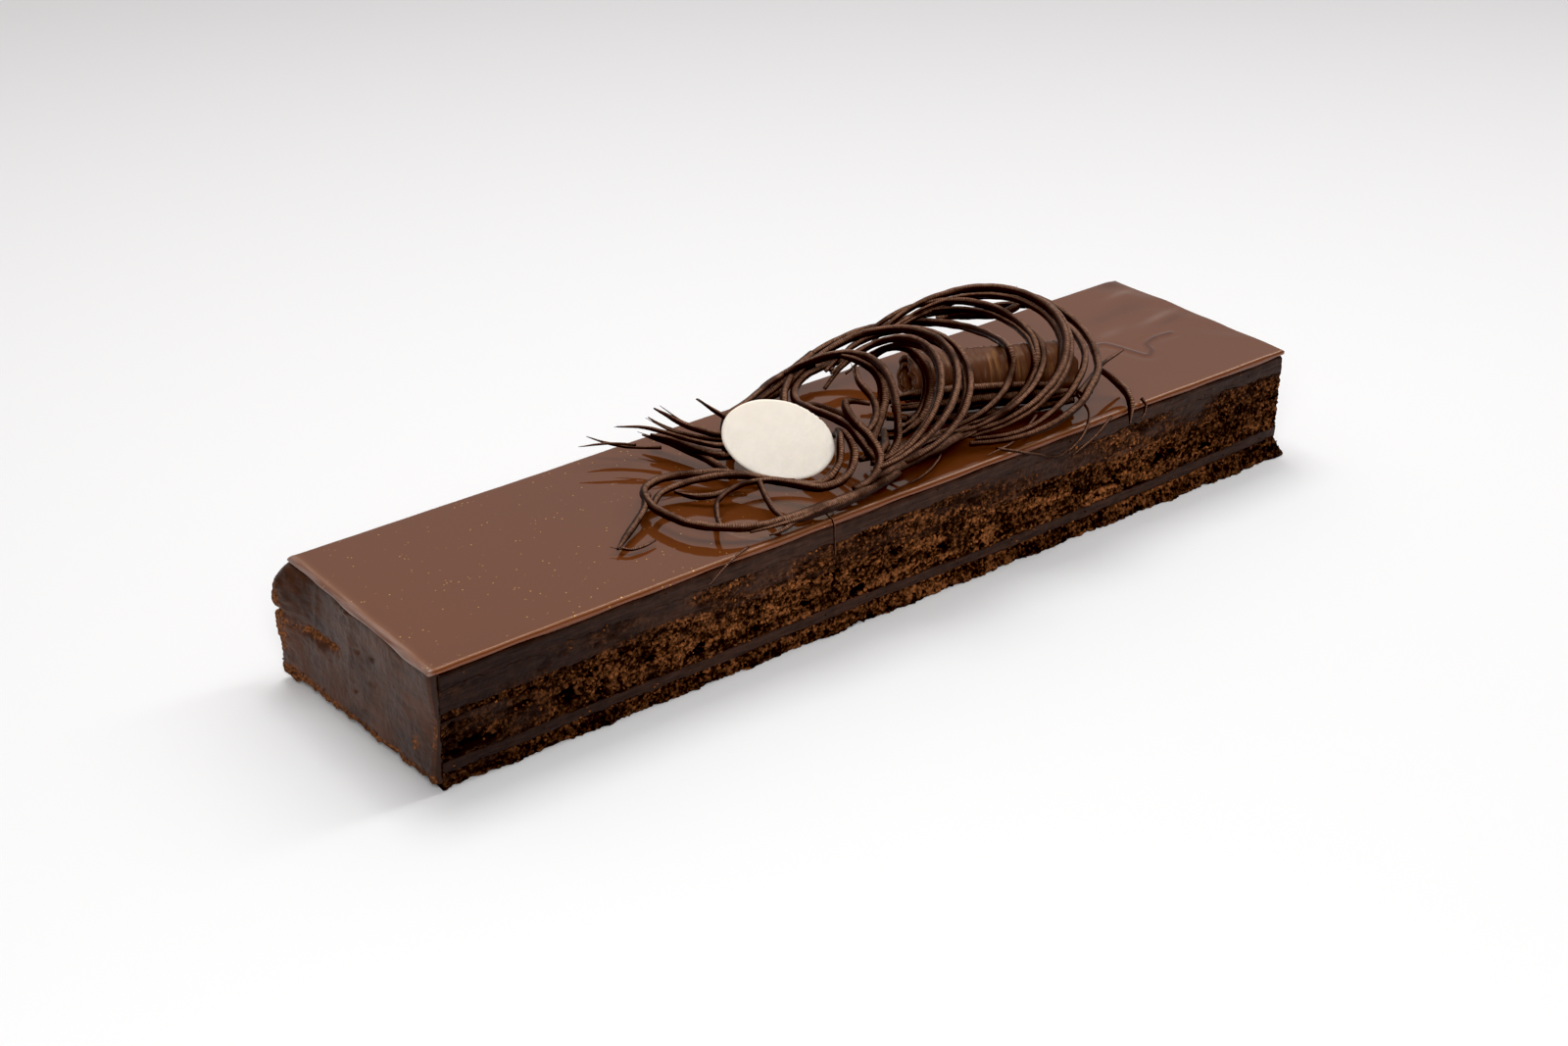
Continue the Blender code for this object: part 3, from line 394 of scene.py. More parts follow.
def crumb_tree():
    """Torn crumb: grains, holes and loose crumbs, pressed flat where ganache was dragged over."""
    graph, given = opened("torn_crumb", {
        "Crumb depth": 0.0007, "Grain": 0.0017, "Hole depth": 0.0022, "Hole size": 0.006,
        "Holes": 0.62, "Crumbs": 60000.0, "Crumb size": 0.0005, "Patchiness": 0.9, "Seed": 0})
    place, away = seeded(graph, given)
    wobble = graph.wobble(away, 260.0, 2.0)
    torn = graph.shifted(away, graph.scaled(wobble, 0.0022))
    grain = graph.cells(torn, 1.0 / given["Grain"])
    small = graph.cells(torn, 2.3 / given["Grain"])
    lumps = graph.noise(away, 150.0, 3.0)
    stretch = graph.stretched(away, (0.62, 0.62, 1.15))
    pores = graph.noise(stretch, 1.0 / given["Hole size"], 2.0, 0.55)
    hole = graph.ramp(pores, given["Holes"], given["Holes"] + 0.08)
    crest = 0.95 - grain * 1.5 - small * 0.55 + (lumps - 0.5) * 1.5
    low = graph.noise(graph.stretched(away, (0.35, 0.35, 1.0)), 95.0, 3.0, 0.6)
    patch = (low - 0.5) * given["Patchiness"]
    smear = graph.ramp(graph.named("smear") + patch * 2.0, 0.15, 0.95)
    depth = crest * given["Crumb depth"] - hole * given["Hole depth"]
    depth = depth * ((1.0 - smear * 0.82) * graph.named("wall"))
    shift = graph.scaled(graph.named("out", "FLOAT_VECTOR"), depth)
    loose = graph.scaled(wobble, graph.named("wall") * 0.0007)
    moved = graph.above_floor(graph.moved(given["Geometry"], graph.shifted(shift, loose)))
    # relief: high on the crests and low in the holes; the cut finish paints shade and highlight from it
    moved = graph.store(moved, "relief", crest * 0.42 - hole + 0.5)
    moved = graph.store(moved, "smeared", smear)
    spread = graph.named("wall") * graph.ramp(graph.named("smeared"), 0.9, 0.3)
    spread = spread * graph.ramp(graph.noise(place, 120.0), 0.35, 0.65)
    crumbs = strewn(graph, given, moved, spread, (0.5, 0.5, 0.45), (1.5, 1.3, 1.2))
    crumbs = graph.moved(crumbs, graph.scaled(graph.wobble(place, 900.0, 1.0), 0.0006))
    bright = 0.45 + graph.noise(place, 500.0, 0.0) * 0.75
    return with_crumbs(graph, given, moved, graph.above_floor(crumbs), bright, 0.0)


def paste_tree():
    """Spread ganache: long knife strokes, low lumps and dragged crumbs."""
    graph, given = opened("spread_ganache", {
        "Stroke depth": 0.00035, "Stroke height": 0.0012, "Lump depth": 0.0004,
        "Crumbs": 4000.0, "Crumb size": 0.0005, "Seed": 0})
    place, away = seeded(graph, given)
    flat = graph.stretched(away, (0.07, 0.07, 1.0))
    strokes = graph.noise(flat, 1.0 / given["Stroke height"], 2.0)
    lumps = graph.noise(away, 130.0, 3.0)
    depth = (strokes - 0.5) * given["Stroke depth"] + (lumps - 0.5) * given["Lump depth"]
    depth = depth * 2.0 * graph.named("wall")
    out = graph.scaled(graph.named("out", "FLOAT_VECTOR"), depth)
    moved = graph.moved(given["Geometry"], out)
    moved = graph.store(graph.store(moved, "relief", strokes), "smeared", 1.0)
    spread = graph.named("wall") * graph.ramp(lumps, 0.45, 0.62)
    crumbs = strewn(graph, given, moved, spread, (0.4, 0.4, 0.3), (1.6, 1.2, 0.8), turned=False)
    tone = graph.ramp(graph.noise(place, 400.0, 0.0), 0.4, 0.6, 0.25, 0.9)
    mixed = graph.ramp(graph.noise(place, 330.0, 0.0), 0.45, 0.6)
    return with_crumbs(graph, given, moved, crumbs, tone, mixed)


def strand_tree():
    """Shaved chocolate strands: round, slightly ragged, along any number of lines."""
    graph, given = opened("shaved_strands", {
        "Step": 0.0011, "Sides": 9, "Raggedness": 0.00032, "Seed": 0})
    lines = graph.add("GeometryNodeMeshToCurve", {0: given["Geometry"]})
    lines = graph.add("GeometryNodeResampleCurve",
                      {"Curve": lines, "Length": given["Step"]}, mode="LENGTH")
    _, away = seeded(graph, given)
    lines = graph.moved(lines, graph.scaled(graph.wobble(away, 110.0, 1.0), 0.0005))
    lines = graph.store(lines, "along", graph.add("GeometryNodeSplineParameter", out="Length"))
    # which way the painted highlight faces, square to the strand
    ahead = graph.add("GeometryNodeInputTangent")
    along = graph.scaled(ahead, graph.dot(ahead, PAINTED_HIGHLIGHT_SIDE))
    across = graph.vector("NORMALIZE", graph.vector("SUBTRACT", PAINTED_HIGHLIGHT_SIDE, along))
    lines = graph.store(lines, "painted_light", across, "FLOAT_VECTOR")
    swell = graph.ramp(graph.noise(away, 170.0, 2.0), 0.3, 0.7, 0.93, 1.07)
    ring = graph.add("GeometryNodeCurvePrimitiveCircle",
                     {"Resolution": given["Sides"], "Radius": 1.0})
    tube = graph.add("GeometryNodeCurveToMesh", {
        "Curve": lines, "Profile Curve": ring, "Scale": graph.named("thick") * swell,
        "Fill Caps": True})
    facing = graph.add("GeometryNodeInputNormal")
    ragged = (graph.noise(away, 620.0, 2.0) - 0.5) * given["Raggedness"]
    tube = graph.moved(tube, graph.scaled(facing, ragged))
    crest = graph.dot(facing, graph.named("painted_light", "FLOAT_VECTOR"))
    # painted highlight: a dusty crest on the side facing one fixed direction, not lit by the lamps
    dust = graph.ramp(crest, 0.68, 1.0) * graph.ramp(graph.noise(away, 75.0), 0.22, 0.55)
    tube = graph.store(tube, "dust", dust)
    return closed(graph, graph.add("GeometryNodeSetShadeSmooth", {0: tube}), given)


# ------------------------------------------------------------------- finishes

def finish_named(name):
    made = bpy.data.materials.new(name)
    made.use_nodes = True
    graph = Graph(made.node_tree)
    return made, graph, graph.add("ShaderNodeTexCoord", out="Object")


def dressed(made, graph, **sockets):
    """Puts values on the shader's own sockets and returns the finish."""
    shader = made.node_tree.nodes["Principled BSDF"].inputs
    for key, value in sockets.items():
        graph.put(shader[key.replace("_", " ")], value)
    return made


def tinted(colour, amount):
    return tuple(min(1.0, value * amount) for value in colour)


def cut_finish(name, crumb, paste):
    """A cut face: crumb with painted shade, near black in its holes and pits, tan between them and with
    a painted highlight on its crests, or dragged ganache.
    """
    made, graph, place = finish_named(name)
    relief, smeared = graph.attribute("relief"), graph.attribute("smeared")
    fine = graph.noise(place, 1100.0, 3.0, 0.6)
    broad = graph.noise(place, 60.0, 2.0)
    wobble = graph.wobble(place, 900.0, 1.0)
    grains = graph.cells(graph.shifted(place, graph.scaled(wobble, 0.0010)), 980.0)
    coarse = graph.cells(graph.shifted(place, graph.scaled(wobble, 0.0018)), 560.0)
    grains = grains * 0.6 + coarse * 0.45
    pits = graph.ramp(graph.noise(place, 420.0, 2.0, 0.6), 0.36, 0.47)
    rows = graph.noise(graph.stretched(place, (0.18, 0.18, 1.0)), 300.0, 3.0, 0.6)
    clumps = graph.noise(graph.stretched(place, (0.42, 0.42, 1.0)), 260.0, 3.0, 0.65)
    tone = relief + (fine - 0.5) * 0.4 + (broad - 0.5) * 0.3 + (0.46 - grains) * 0.95
    tone = tone + (rows - 0.5) * 1.2 + (clumps - 0.5) * 0.7
    tone = tone * (0.25 + pits * 0.75)
    # painted shade in holes, pits and between grains, and a painted highlight on the crests, over the
    # crumb's own grain
    crumbs = graph.tones(tone, (
        (0.0, tinted(crumb, 0.02)), (0.26, tinted(crumb, 0.10)), (0.50, tinted(crumb, 0.46)),
        (0.74, crumb), (1.0, (crumb[0] * 1.6, crumb[1] * 1.6, crumb[2] * 1.5))))
    streak = graph.noise(graph.stretched(place, (0.08, 0.08, 1.0)), 1300.0, 2.0)
    mixed = streak + graph.noise(place, 260.0, 3.0) * 0.8
    pastes = graph.tones(graph.ramp(mixed, 0.5, 1.3), (
        (0.0, tinted(paste, 0.55)), (0.5, paste), (1.0, tinted(paste, 1.55))))
    rough = graph.ramp(smeared, 0.3, 1.0, 0.95, 0.42) + (fine - 0.5) * 0.3
    # painted shade: the cut faces darken towards the left, and a little towards the far right and the
    # foot
    across = graph.axis(place, "X")
    painted_light = graph.ramp(across, -0.19, -0.05, 0.45, 1.0) * graph.ramp(across, 0.10, 0.17, 1.0, 0.80)
    painted_light = painted_light * graph.ramp(graph.axis(place, "Z"), 0.0, 0.008, 0.70, 1.0)
    lumpy = (pits * 0.8 - grains) * (1.0 - smeared)
    height = fine * 0.5 + streak * 0.4 + lumpy * 1.6
    return dressed(made, graph, Roughness=rough, Specular_IOR_Level=0.09,
                   Base_Color=graph.scaled(graph.colour(smeared, crumbs, pastes), painted_light),
                   Normal=graph.bump(height, 0.00045, 0.9))


def glaze_finish(colour, gold, smeared):
    """Mirror glaze with a little gold dust; satin and paler where the knife drew it at the left, partly
    a painted sheen; painted light and shade on the lip and near the fold.
    """
    made, graph, place = finish_named("glaze")
    speck = graph.ramp(graph.cells(place, 400.0), 0.135, 0.085)
    speck = speck * graph.ramp(graph.noise(place, 110.0, 1.0), 0.46, 0.58)
    speck = speck * graph.ramp(graph.axis(place, "X"), 0.02, -0.06)
    drawn = graph.attribute("drawn")
    strokes = graph.noise(graph.stretched(place, (1.0, 0.12, 1.0)), 500.0, 3.0)
    # the drawn left edge: paler than the coat, partly a painted sheen on its rounded edge
    paste = graph.tones(strokes, ((0.35, tinted(smeared, 2.4)), (0.62, DRAWN_AND_SHEEN)))
    # painted shade on the lower part of the lip, which is also rougher there
    under = graph.ramp(graph.axis(place, "Z"), 0.0434, 0.0424)
    body = graph.tones(graph.ramp(graph.noise(place, 14.0, 1.0), 0.3, 0.7), (
        (0.0, tinted(colour, 0.96)), (1.0, tinted(colour, 1.04))))
    for share, tone in (
            (under * 0.5, tinted(colour, 0.45)),
            # painted light on the upright middle of the rounded lip
            (graph.attribute("painted_edge_light") * 0.8, tinted(colour, 2.0)),
            # a painted highlight near the top of the rounded lip
            (graph.attribute("lip_highlight") * 0.6, PAINTED_LIP_HIGHLIGHT),
            # painted shade near the fold and the far corner
            (graph.attribute("painted_shade"), (colour[0] * 0.40, colour[1] * 0.15, 0.0)),
            # painted sheen near the fold
            (graph.attribute("painted_sheen"), DRAWN_AND_SHEEN),
            (drawn, paste),
            (speck * 0.7, gold)):
        body = graph.colour(share, body, tone)
    satin = drawn * 0.26 + graph.ramp(graph.noise(place, 90.0, 3.0), 0.2, 0.8, 0.020, 0.040)
    return dressed(made, graph, Base_Color=body, Metallic=speck * 0.7, IOR=1.42,
                   Roughness=graph.math("MAXIMUM", speck, under) * 0.25 + satin,
                   Normal=graph.bump(drawn * strokes, 0.0004, 0.5))


def coat_finish(paste, crumb):
    """Ganache drawn over the end, with bare crumb where it tore and dark at its turned edge."""
    made, graph, place = finish_named("smeared_ganache")
    fine = graph.noise(place, 1000.0, 3.0, 0.6)
    strokes = graph.noise(graph.stretched(place, (1.0, 0.16, 1.0)), 420.0, 3.0)
    clouds = graph.noise(place, 55.0, 3.0)
    body = graph.tones(graph.ramp(strokes * 0.6 + clouds * 0.7, 0.4, 0.9), (
        (0.0, tinted(paste, 0.52)), (0.5, tinted(paste, 0.95)), (1.0, tinted(paste, 1.4))))
    crumbs = graph.tones(fine + clouds * 0.2, (
        (0.35, tinted(crumb, 0.04)), (0.55, tinted(crumb, 0.30)), (0.78, tinted(crumb, 1.05))))
    shown = graph.ramp(graph.attribute("bare") + (fine - 0.5) * 0.9, 0.35, 0.6)
    body = graph.colour(shown, body, crumbs)
    body = graph.colour(graph.attribute("turned") * 0.8, body, tinted(paste, 0.35))
    return dressed(made, graph, Base_Color=body, Specular_IOR_Level=0.19,
                   Roughness=graph.ramp(shown, 0.0, 1.0, 0.42, 0.95),
                   Normal=graph.bump(strokes + fine * 0.35, 0.00040, 0.7))


def roll_finish(colour, bronze):
    """Satin chocolate with the ring marks of the scraper and bronze streaks, partly a trace of bronze
    dust and partly a painted sheen.
    """
    made, graph, _ = finish_named("roll_chocolate")
    along = graph.add("ShaderNodeUVMap", uv_map="sheet")
    bands = graph.stretched(along, (0.05, 1.0, 1.0))
    streak = graph.noise(bands, 26.0, 4.0, 0.65)
    broken = graph.noise(along, 9.0, 3.0)
    dust_and_sheen = graph.ramp(streak, 0.50, 0.68) * graph.ramp(broken, 0.38, 0.62)
    fine = graph.noise(bands, 120.0, 3.0)
    return dressed(made, graph, Base_Color=graph.colour(dust_and_sheen * 0.5, colour, bronze),
                   Metallic=dust_and_sheen * 0.2, Roughness=graph.ramp(fine, 0.3, 0.7, 0.26, 0.42),
                   Specular_IOR_Level=0.22, Specular_Tint=(1.0, 0.70, 0.50, 1.0),
                   Normal=graph.bump(streak + fine * 0.4, 0.0004, 0.6))


def plaque_finish(colour):
    """White chocolate: faintly mottled, and light goes a little way in."""
    made, graph, place = finish_named("white_chocolate")
    mottle, fine = graph.noise(place, 220.0, 3.0), graph.noise(place, 1400.0, 3.0)
    body = graph.tones(graph.ramp(mottle, 0.3, 0.7), (
        (0.0, tinted(colour, 0.955)), (1.0, colour)))
    return dressed(made, graph, Base_Color=body, Roughness=graph.ramp(fine, 0.3, 0.7, 0.34, 0.5),
                   Subsurface_Weight=0.15, Subsurface_Radius=(0.004, 0.003, 0.002),
                   Subsurface_Scale=0.5, Normal=graph.bump(mottle + fine * 0.3, 0.0003, 0.4))


def curl_finish(colour, bloom_and_highlight):
    """Shaved chocolate: dark, beaded across each strand, with a dusty painted highlight along one fixed
    side.
    """
    made, graph, place = finish_named("curl_chocolate")
    fine = graph.noise(place, 900.0, 3.0)
    shaky = graph.attribute("along") * 8000.0 + graph.noise(place, 300.0, 2.0) * 12.0
    bead = graph.math("SINE", shaky) * 0.5 + 0.5
    grain = graph.ramp(bead, 0.0, 1.0, 0.30, 1.0) * graph.ramp(fine, 0.35, 0.60, 0.5, 1.0)
    # the dusty crest, beaded, is a painted highlight in the bloom colour
    dust_and_highlight = graph.attribute("dust") * grain
    tone = graph.tones(graph.noise(place, 60.0, 2.0), (
        (0.3, tinted(colour, 0.75)), (0.7, tinted(colour, 1.35))))
    return dressed(made, graph, Base_Color=graph.colour(dust_and_highlight * 0.85, tone, bloom_and_highlight),
                   Roughness=graph.ramp(fine, 0.3, 0.7, 0.26, 0.40),
                   Specular_IOR_Level=0.07, Specular_Tint=(1.0, 0.62, 0.42, 1.0),
                   Normal=graph.bump(bead * 0.8 + fine * 0.7, 0.00008, 0.6))


# --------------------------------------------------------------- meshes in mm

def piece(name, points, faces, attributes=None, smooth=None):
    """A mesh object from points in millimetres; smooth marks which faces are shaded smooth."""
    mesh = bpy.data.meshes.new(name)
    spots = (np.asarray(points, float) + SHIFT) * MM
    mesh.from_pydata(spots.tolist(), [], [list(map(int, face)) for face in faces])
    flags = np.ones(len(mesh.polygons), bool) if smooth is None else np.asarray(smooth, bool)
    mesh.polygons.foreach_set("use_smooth", flags)
    for label, values in (attributes or {}).items():
        values = np.asarray(values, np.float32)
        kind = "FLOAT_VECTOR" if values.ndim == 2 else "FLOAT"
        layer = mesh.attributes.new(label, kind, "POINT")
        layer.data.foreach_set("vector" if values.ndim == 2 else "value", values.ravel())
    mesh.update()
    made = bpy.data.objects.new(name, mesh)
    bpy.context.scene.collection.objects.link(made)
    return made


def settled(made, node):
    """Rides the piece on the cake in place of its plain solid."""
    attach(made, "root")
    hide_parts(node)


def eased(t):
    return t * t * (3 - 2 * t)


def share_along(x):
    return (x + LENGTH / 2) / LENGTH


def wave(x, y, kind):
    """Slow waves along a seam; kind sets where they lie."""
    along = 0.34 * np.sin(x / 37.0 + 1.7 * kind) + 0.22 * np.sin(x / 19.0 + 2.3 * kind)
    return along + 0.30 * np.sin(x / 53.0 + 0.9 * kind) * y / 45.0


def seam(level, kind, rise=1.0, ragged=0.3):
    """The line where two layers meet: slow waves, and a ragged edge that both of them share."""
    def height(x, y):
        t = np.clip((x - 90.0) / 105.0, 0.0, 1.0)
        s = x + 1.37 * y + 40.0 * kind
        edge = (np.sin(s / 2.9) + 0.8 * np.sin(s / 1.13 + 1.0) + 0.6 * np.sin(s / 0.61 + 2.0)
                + 1.1 * np.sin(s / 6.7 + 0.5)) * 0.4 * ragged
        return level + wave(x, y, kind) + rise * 1.1 * eased(t) + edge
    return height


def level(height):
    return lambda x, y: np.full_like(x, height)


# Where the layers meet, from the lowest up.
FIRST_SEAM, SECOND_SEAM = seam(BASE_TOP, 1), seam(LOWER_GANACHE_TOP, 1.3)
THIRD_SEAM = seam(MIDDLE_SPONGE_TOP, 2, 0.4, 0.5)
FOURTH_SEAM = seam(MIDDLE_GANACHE_TOP, 2.2, 0.4, 0.5)
LAST_SEAM = seam(TOP_SPONGE_TOP, 3, 0.0, 0.6)


def left_line(y):
    """Where the skewed left end lies."""
    return -LENGTH / 2 + COAT + 0.3 + SKEW * (y / WIDTH + 0.5)


def front_line(x):
    return FRONT_FACE + FRONT_SPREAD * share_along(x)


def back_line(x):
    return BACK_FACE + BACK_SPREAD * share_along(x)


def outline(step, left=0.0, right=0.0, sides=0.0):
    """The plan, grown by so much on the left, right and long sides, as points with the way that
    each faces out: front, right, back, left. Also the number of steps along and across."""
    n, m = round(LENGTH / step), round(WIDTH / step)
    ones, none = np.ones(m - 1), np.zeros(m - 1)
    share, cross = np.linspace(0.0, 1.0, n + 1), np.linspace(0.0, 1.0, m + 1)[1:-1]
    end = LENGTH / 2 - 0.5 + right
    facing = np.zeros(n + 1)
    facing[0], facing[-1] = -1.0, 1.0
    x = left_line(-45.0) - left + (end - left_line(-45.0) + left) * share
    rows = [np.stack([x, front_line(x) - sides, facing, np.full(n + 1, -1.0)], 1)]
    low, high = front_line(end) - sides, back_line(end) + sides
    rows.append(np.stack([np.full(m - 1, end), low + (high - low) * cross, ones, none], 1))
    x = (left_line(45.0) - left + (end - left_line(45.0) + left) * share)[::-1]
    rows.append(np.stack([x, back_line(x) + sides, facing[::-1], np.ones(n + 1)], 1))
    low, high = front_line(-LENGTH / 2) - sides, back_line(-LENGTH / 2) + sides
    y = (low + (high - low) * cross)[::-1]
    rows.append(np.stack([left_line(y) - left, y, -ones, none], 1))
    return np.concatenate(rows), n, m


def rings(rows, count):
    """Quads between closed rings of points, lowest ring first."""
    k, i = np.meshgrid(np.arange(rows - 1), np.arange(count), indexing="ij")
    j = (i + 1) % count
    quads = np.stack([k * count + i, k * count + j, (k + 1) * count + j, (k + 1) * count + i], -1)
    return quads.reshape(-1, 4).tolist()


def lid(first, n, m, top):
    """Closes a ring that starts at point `first`, in strips from front to back."""
    front = list(range(first, first + n + 1))
    right = list(range(first + n + 1, first + n + m))
    back = list(range(first + n + m, first + 2 * n + m + 1))[::-1]
    left = list(range(first + 2 * n + m + 1, first + 2 * n + 2 * m))[::-1]
    faces = [(front[i], front[i + 1], back[i + 1], back[i]) for i in range(1, n - 1)]
    faces.append((front[0], front[1], back[1], back[0], *left[::-1]))
    faces.append((front[-2], front[-1], *right, back[-1], back[-2]))
    return faces if top else [face[::-1] for face in faces]


def layer(name, bottom, top, step, shape):
    """A layer of the cake as a closed body with fine walls. shape gives, for each wall point, how
    far it stands out, how much its crumb shows, and how much it is smeared."""
    plan, n, m = outline(step)
    x, y, nx, ny = plan.T
    count = len(plan)
    low, high = bottom(x, y), top(x, y)
    rows = max(4, round(float((high - low).mean()) / step) + 1)
    points, outs, walls, smears = [], [], [], []
    under = (nx < 0) & (ny == 0)
    ox = np.where(nx < 0, 0.0, nx)
    size = np.maximum(np.hypot(ox, ny), 1e-6)
    out = np.stack([ox / size, ny / size, np.zeros(count)], 1)
    for k in range(rows):
        share = k / (rows - 1)
        z = low * (1 - share) + high * share
        stand, wall, smear = shape(x, y, z, nx, ny, share)
        points.append(np.stack([x + ox * stand, y + ny * stand, z], 1))
        outs.append(out)
        walls.append(np.where(under, 0.0, wall))
        smears.append(np.full(count, smear))
    walled = rings(rows, count)
    lids = lid(0, n, m, False) + lid((rows - 1) * count, n, m, True)
    smooth = [True] * len(walled) + [False] * len(lids)
    return piece(name, np.concatenate(points), walled + lids, {
        "out": np.concatenate(outs), "wall": np.concatenate(walls),
        "smear": np.concatenate(smears)}, smooth)


def sheet_faces(rows, columns, mirrored=False):
    """Faces of a thin sheet: a grid of points, the same grid again as its lining, and the rim."""
    count = rows * columns
    at = np.arange(count).reshape(rows, columns)
    quads = np.stack([at[:-1, :-1], at[:-1, 1:], at[1:, 1:], at[1:, :-1]], -1).reshape(-1, 4)
    rim = np.concatenate([at[0, :-1], at[:-1, -1], at[-1, :0:-1], at[:0:-1, 0]])
    after = np.roll(rim, -1)
    sides = np.stack([after, rim, rim + count, after + count], 1)
    if mirrored:
        quads, sides = quads[:, [0, 3, 2, 1]], sides[:, [1, 0, 3, 2]]
    return np.concatenate([quads, quads[:, ::-1] + count, sides]).tolist()


def hump(value, middle, width):
    return np.exp(-(((value - middle) / width) ** 2))


def humps(x, y, rows, slant=0.0):
    """A sum of soft spots: rows of where in x and y, half widths of both, and how much."""
    return sum(amount * hump(x, at_x, half_x) * hump(y - slant * (x - at_x), at_y, half_y)
               for at_x, at_y, half_x, half_y, amount in rows)


def smears(x, ny, front_base, other):
    """How much ganache the knife dragged over the crumb: most at the left of the front."""
    front = ny < 0
    left = np.clip((-118.0 - x) / 62.0, 0.0, 1.0)
    dragged = front_base + 0.44 * eased(left)
    return np.where(front, dragged, other + 0.35 * np.clip((-150.0 - x) / 40.0, 0.0, 1.0))


# ------------------------------------------------------------------ the nest

def even(line, step):
    """The same line with its points about a step apart."""
    gaps = np.linalg.norm(np.diff(line, axis=0), axis=1)
    at = np.concatenate([[0.0], np.cumsum(gaps)])
    want = np.linspace(0.0, at[-1], max(3, round(at[-1] / step)) + 1)
    return np.stack([np.interp(want, at, line[:, i]) for i in range(line.shape[1])], 1)


def spline(course, step):
    """Evenly spaced points of a smooth line through the given ones."""
    nodes = np.asarray(course, float)
    nodes = np.vstack([2 * nodes[0] - nodes[1], nodes, 2 * nodes[-1] - nodes[-2]])
    t = (np.arange(12) / 12)[:, None]
    fine = [0.5 * (2 * b + (c - a) * t + (2 * a - 5 * b + 4 * c - d) * t * t
                   + (3 * b - a - 3 * c + d) * t ** 3)
            for a, b, c, d in zip(nodes, nodes[1:], nodes[2:], nodes[3:])]
    return even(np.vstack(fine + [nodes[-2:-1]]), step)


def turn_axes(lean, low):
    """The way a turn of the coil faces, the way down to its low side, and the way across."""
    lean, low = math.radians(lean), math.radians(low)
    tilt, rest = math.sin(lean), math.cos(lean)
    normal = np.array([tilt * math.cos(low), tilt * math.sin(low), rest])
    down = np.array([math.cos(low) * rest, math.sin(low) * rest, -tilt])
    return normal, down, np.cross(normal, down)


def turn_line(centre, radius, lean, low, start, sweep):
    """One turn of the coil as points about a step apart."""
    _, down, across = turn_axes(lean, low)
    count = max(6, round(math.radians(sweep) * radius / STEP))
    angle = np.radians(start + sweep * np.arange(count + 1) / count - low)[:, None]
    return np.array(centre) + radius * (down * np.cos(angle) + across * np.sin(angle))


def roll_depth(points, sizes):
    """How deep each point of a strand would lie inside the roll."""
    left, right = np.array(ROLL_LEFT), np.array(ROLL_RIGHT)
    length = np.linalg.norm(right - left)
    along = (right - left) / length
    at = (points - left) @ along
    off = np.linalg.norm(points - left - at[:, None] * along, axis=1)
    near = (at > -sizes - 1.6) & (at < length + sizes + 1.6)
    return np.where(near, np.maximum(ROLL_RADIUS + sizes + FLOAT + 0.5 - off, 0.0), 0.0)


def laid_over_roll(line, sizes):
    """Lays a strand over the roll where it would run through it."""
    slip = np.array(SLIPPED) / np.linalg.norm(SLIPPED)
    shift = np.zeros(len(line))
    for _ in range(40):
        now = line + slip * shift[:, None]
        inside = roll_depth(now, sizes)
        middle = (now[1:] + now[:-1]) / 2
        inside[:-1] = np.maximum(inside[:-1], roll_depth(middle, sizes[:-1]))
        inside[1:] = np.maximum(inside[1:], roll_depth(middle, sizes[1:]))
        shift = np.where(inside > 0, shift + 0.5 * inside + 0.05, shift)
        wide = np.concatenate([shift[:1], shift, shift[-1:]])
        shift = np.maximum(shift, 0.94 * (0.25 * wide[:-2] + 0.5 * shift + 0.25 * wide[2:]))
    return line + slip * shift[:, None]


def axes_from(direction):
    """A direction, the level way across it, and the way up square to both."""
    along = np.array(direction) / np.linalg.norm(direction)
    side = np.cross(along, (0.0, 0.0, 1.0))
    side /= np.linalg.norm(side)
    return along, side, np.cross(side, along)


def kept_clear(line, sizes):
    """Moves a strand off the plaque and the glaze, where it would sink in."""
    facing = axes_from(PLAQUE_FACES)[0]
    off = line - np.array(PLAQUE_AT)
    depth = off @ facing
    near = np.linalg.norm(off - facing * depth[:, None], axis=1) < PLAQUE_LONG / 2 + sizes
    least = PLAQUE_THICK / 2 + sizes + FLOAT + CLEARANCE
    push = np.where(near & (np.abs(depth) < least), np.copysign(least, depth) - depth, 0.0)
    line = line + facing * push[:, None]
    low = HEIGHT + CLEARANCE + sizes
    sunk = (np.abs(line[:, 1]) < WIDTH / 2 + 1.5) & (line[:, 2] > 40.0) & (line[:, 2] < low)
    line[:, 2] = np.where(sunk, low, line[:, 2])
    return line


def thickness(count, first, middle, last):
    """Radius at each of the points, in millimetres: thinner towards both ends."""
    t = np.linspace(0.0, 1.0, count)
    rise = np.minimum(np.minimum(t, 1 - t) / 0.3, 1.0)
    ends = np.where(t < 0.5, first, last)
    return STRAND * (ends + (middle - ends) * rise)


def laid(line, radii):
    """A strand in its final place: its line and thickness, as rows of x, y, z, r."""
    sizes = thickness(len(line), *radii)
    line = kept_clear(laid_over_roll(line, sizes), sizes)
    return spline(np.column_stack([line, sizes]), 2.2)


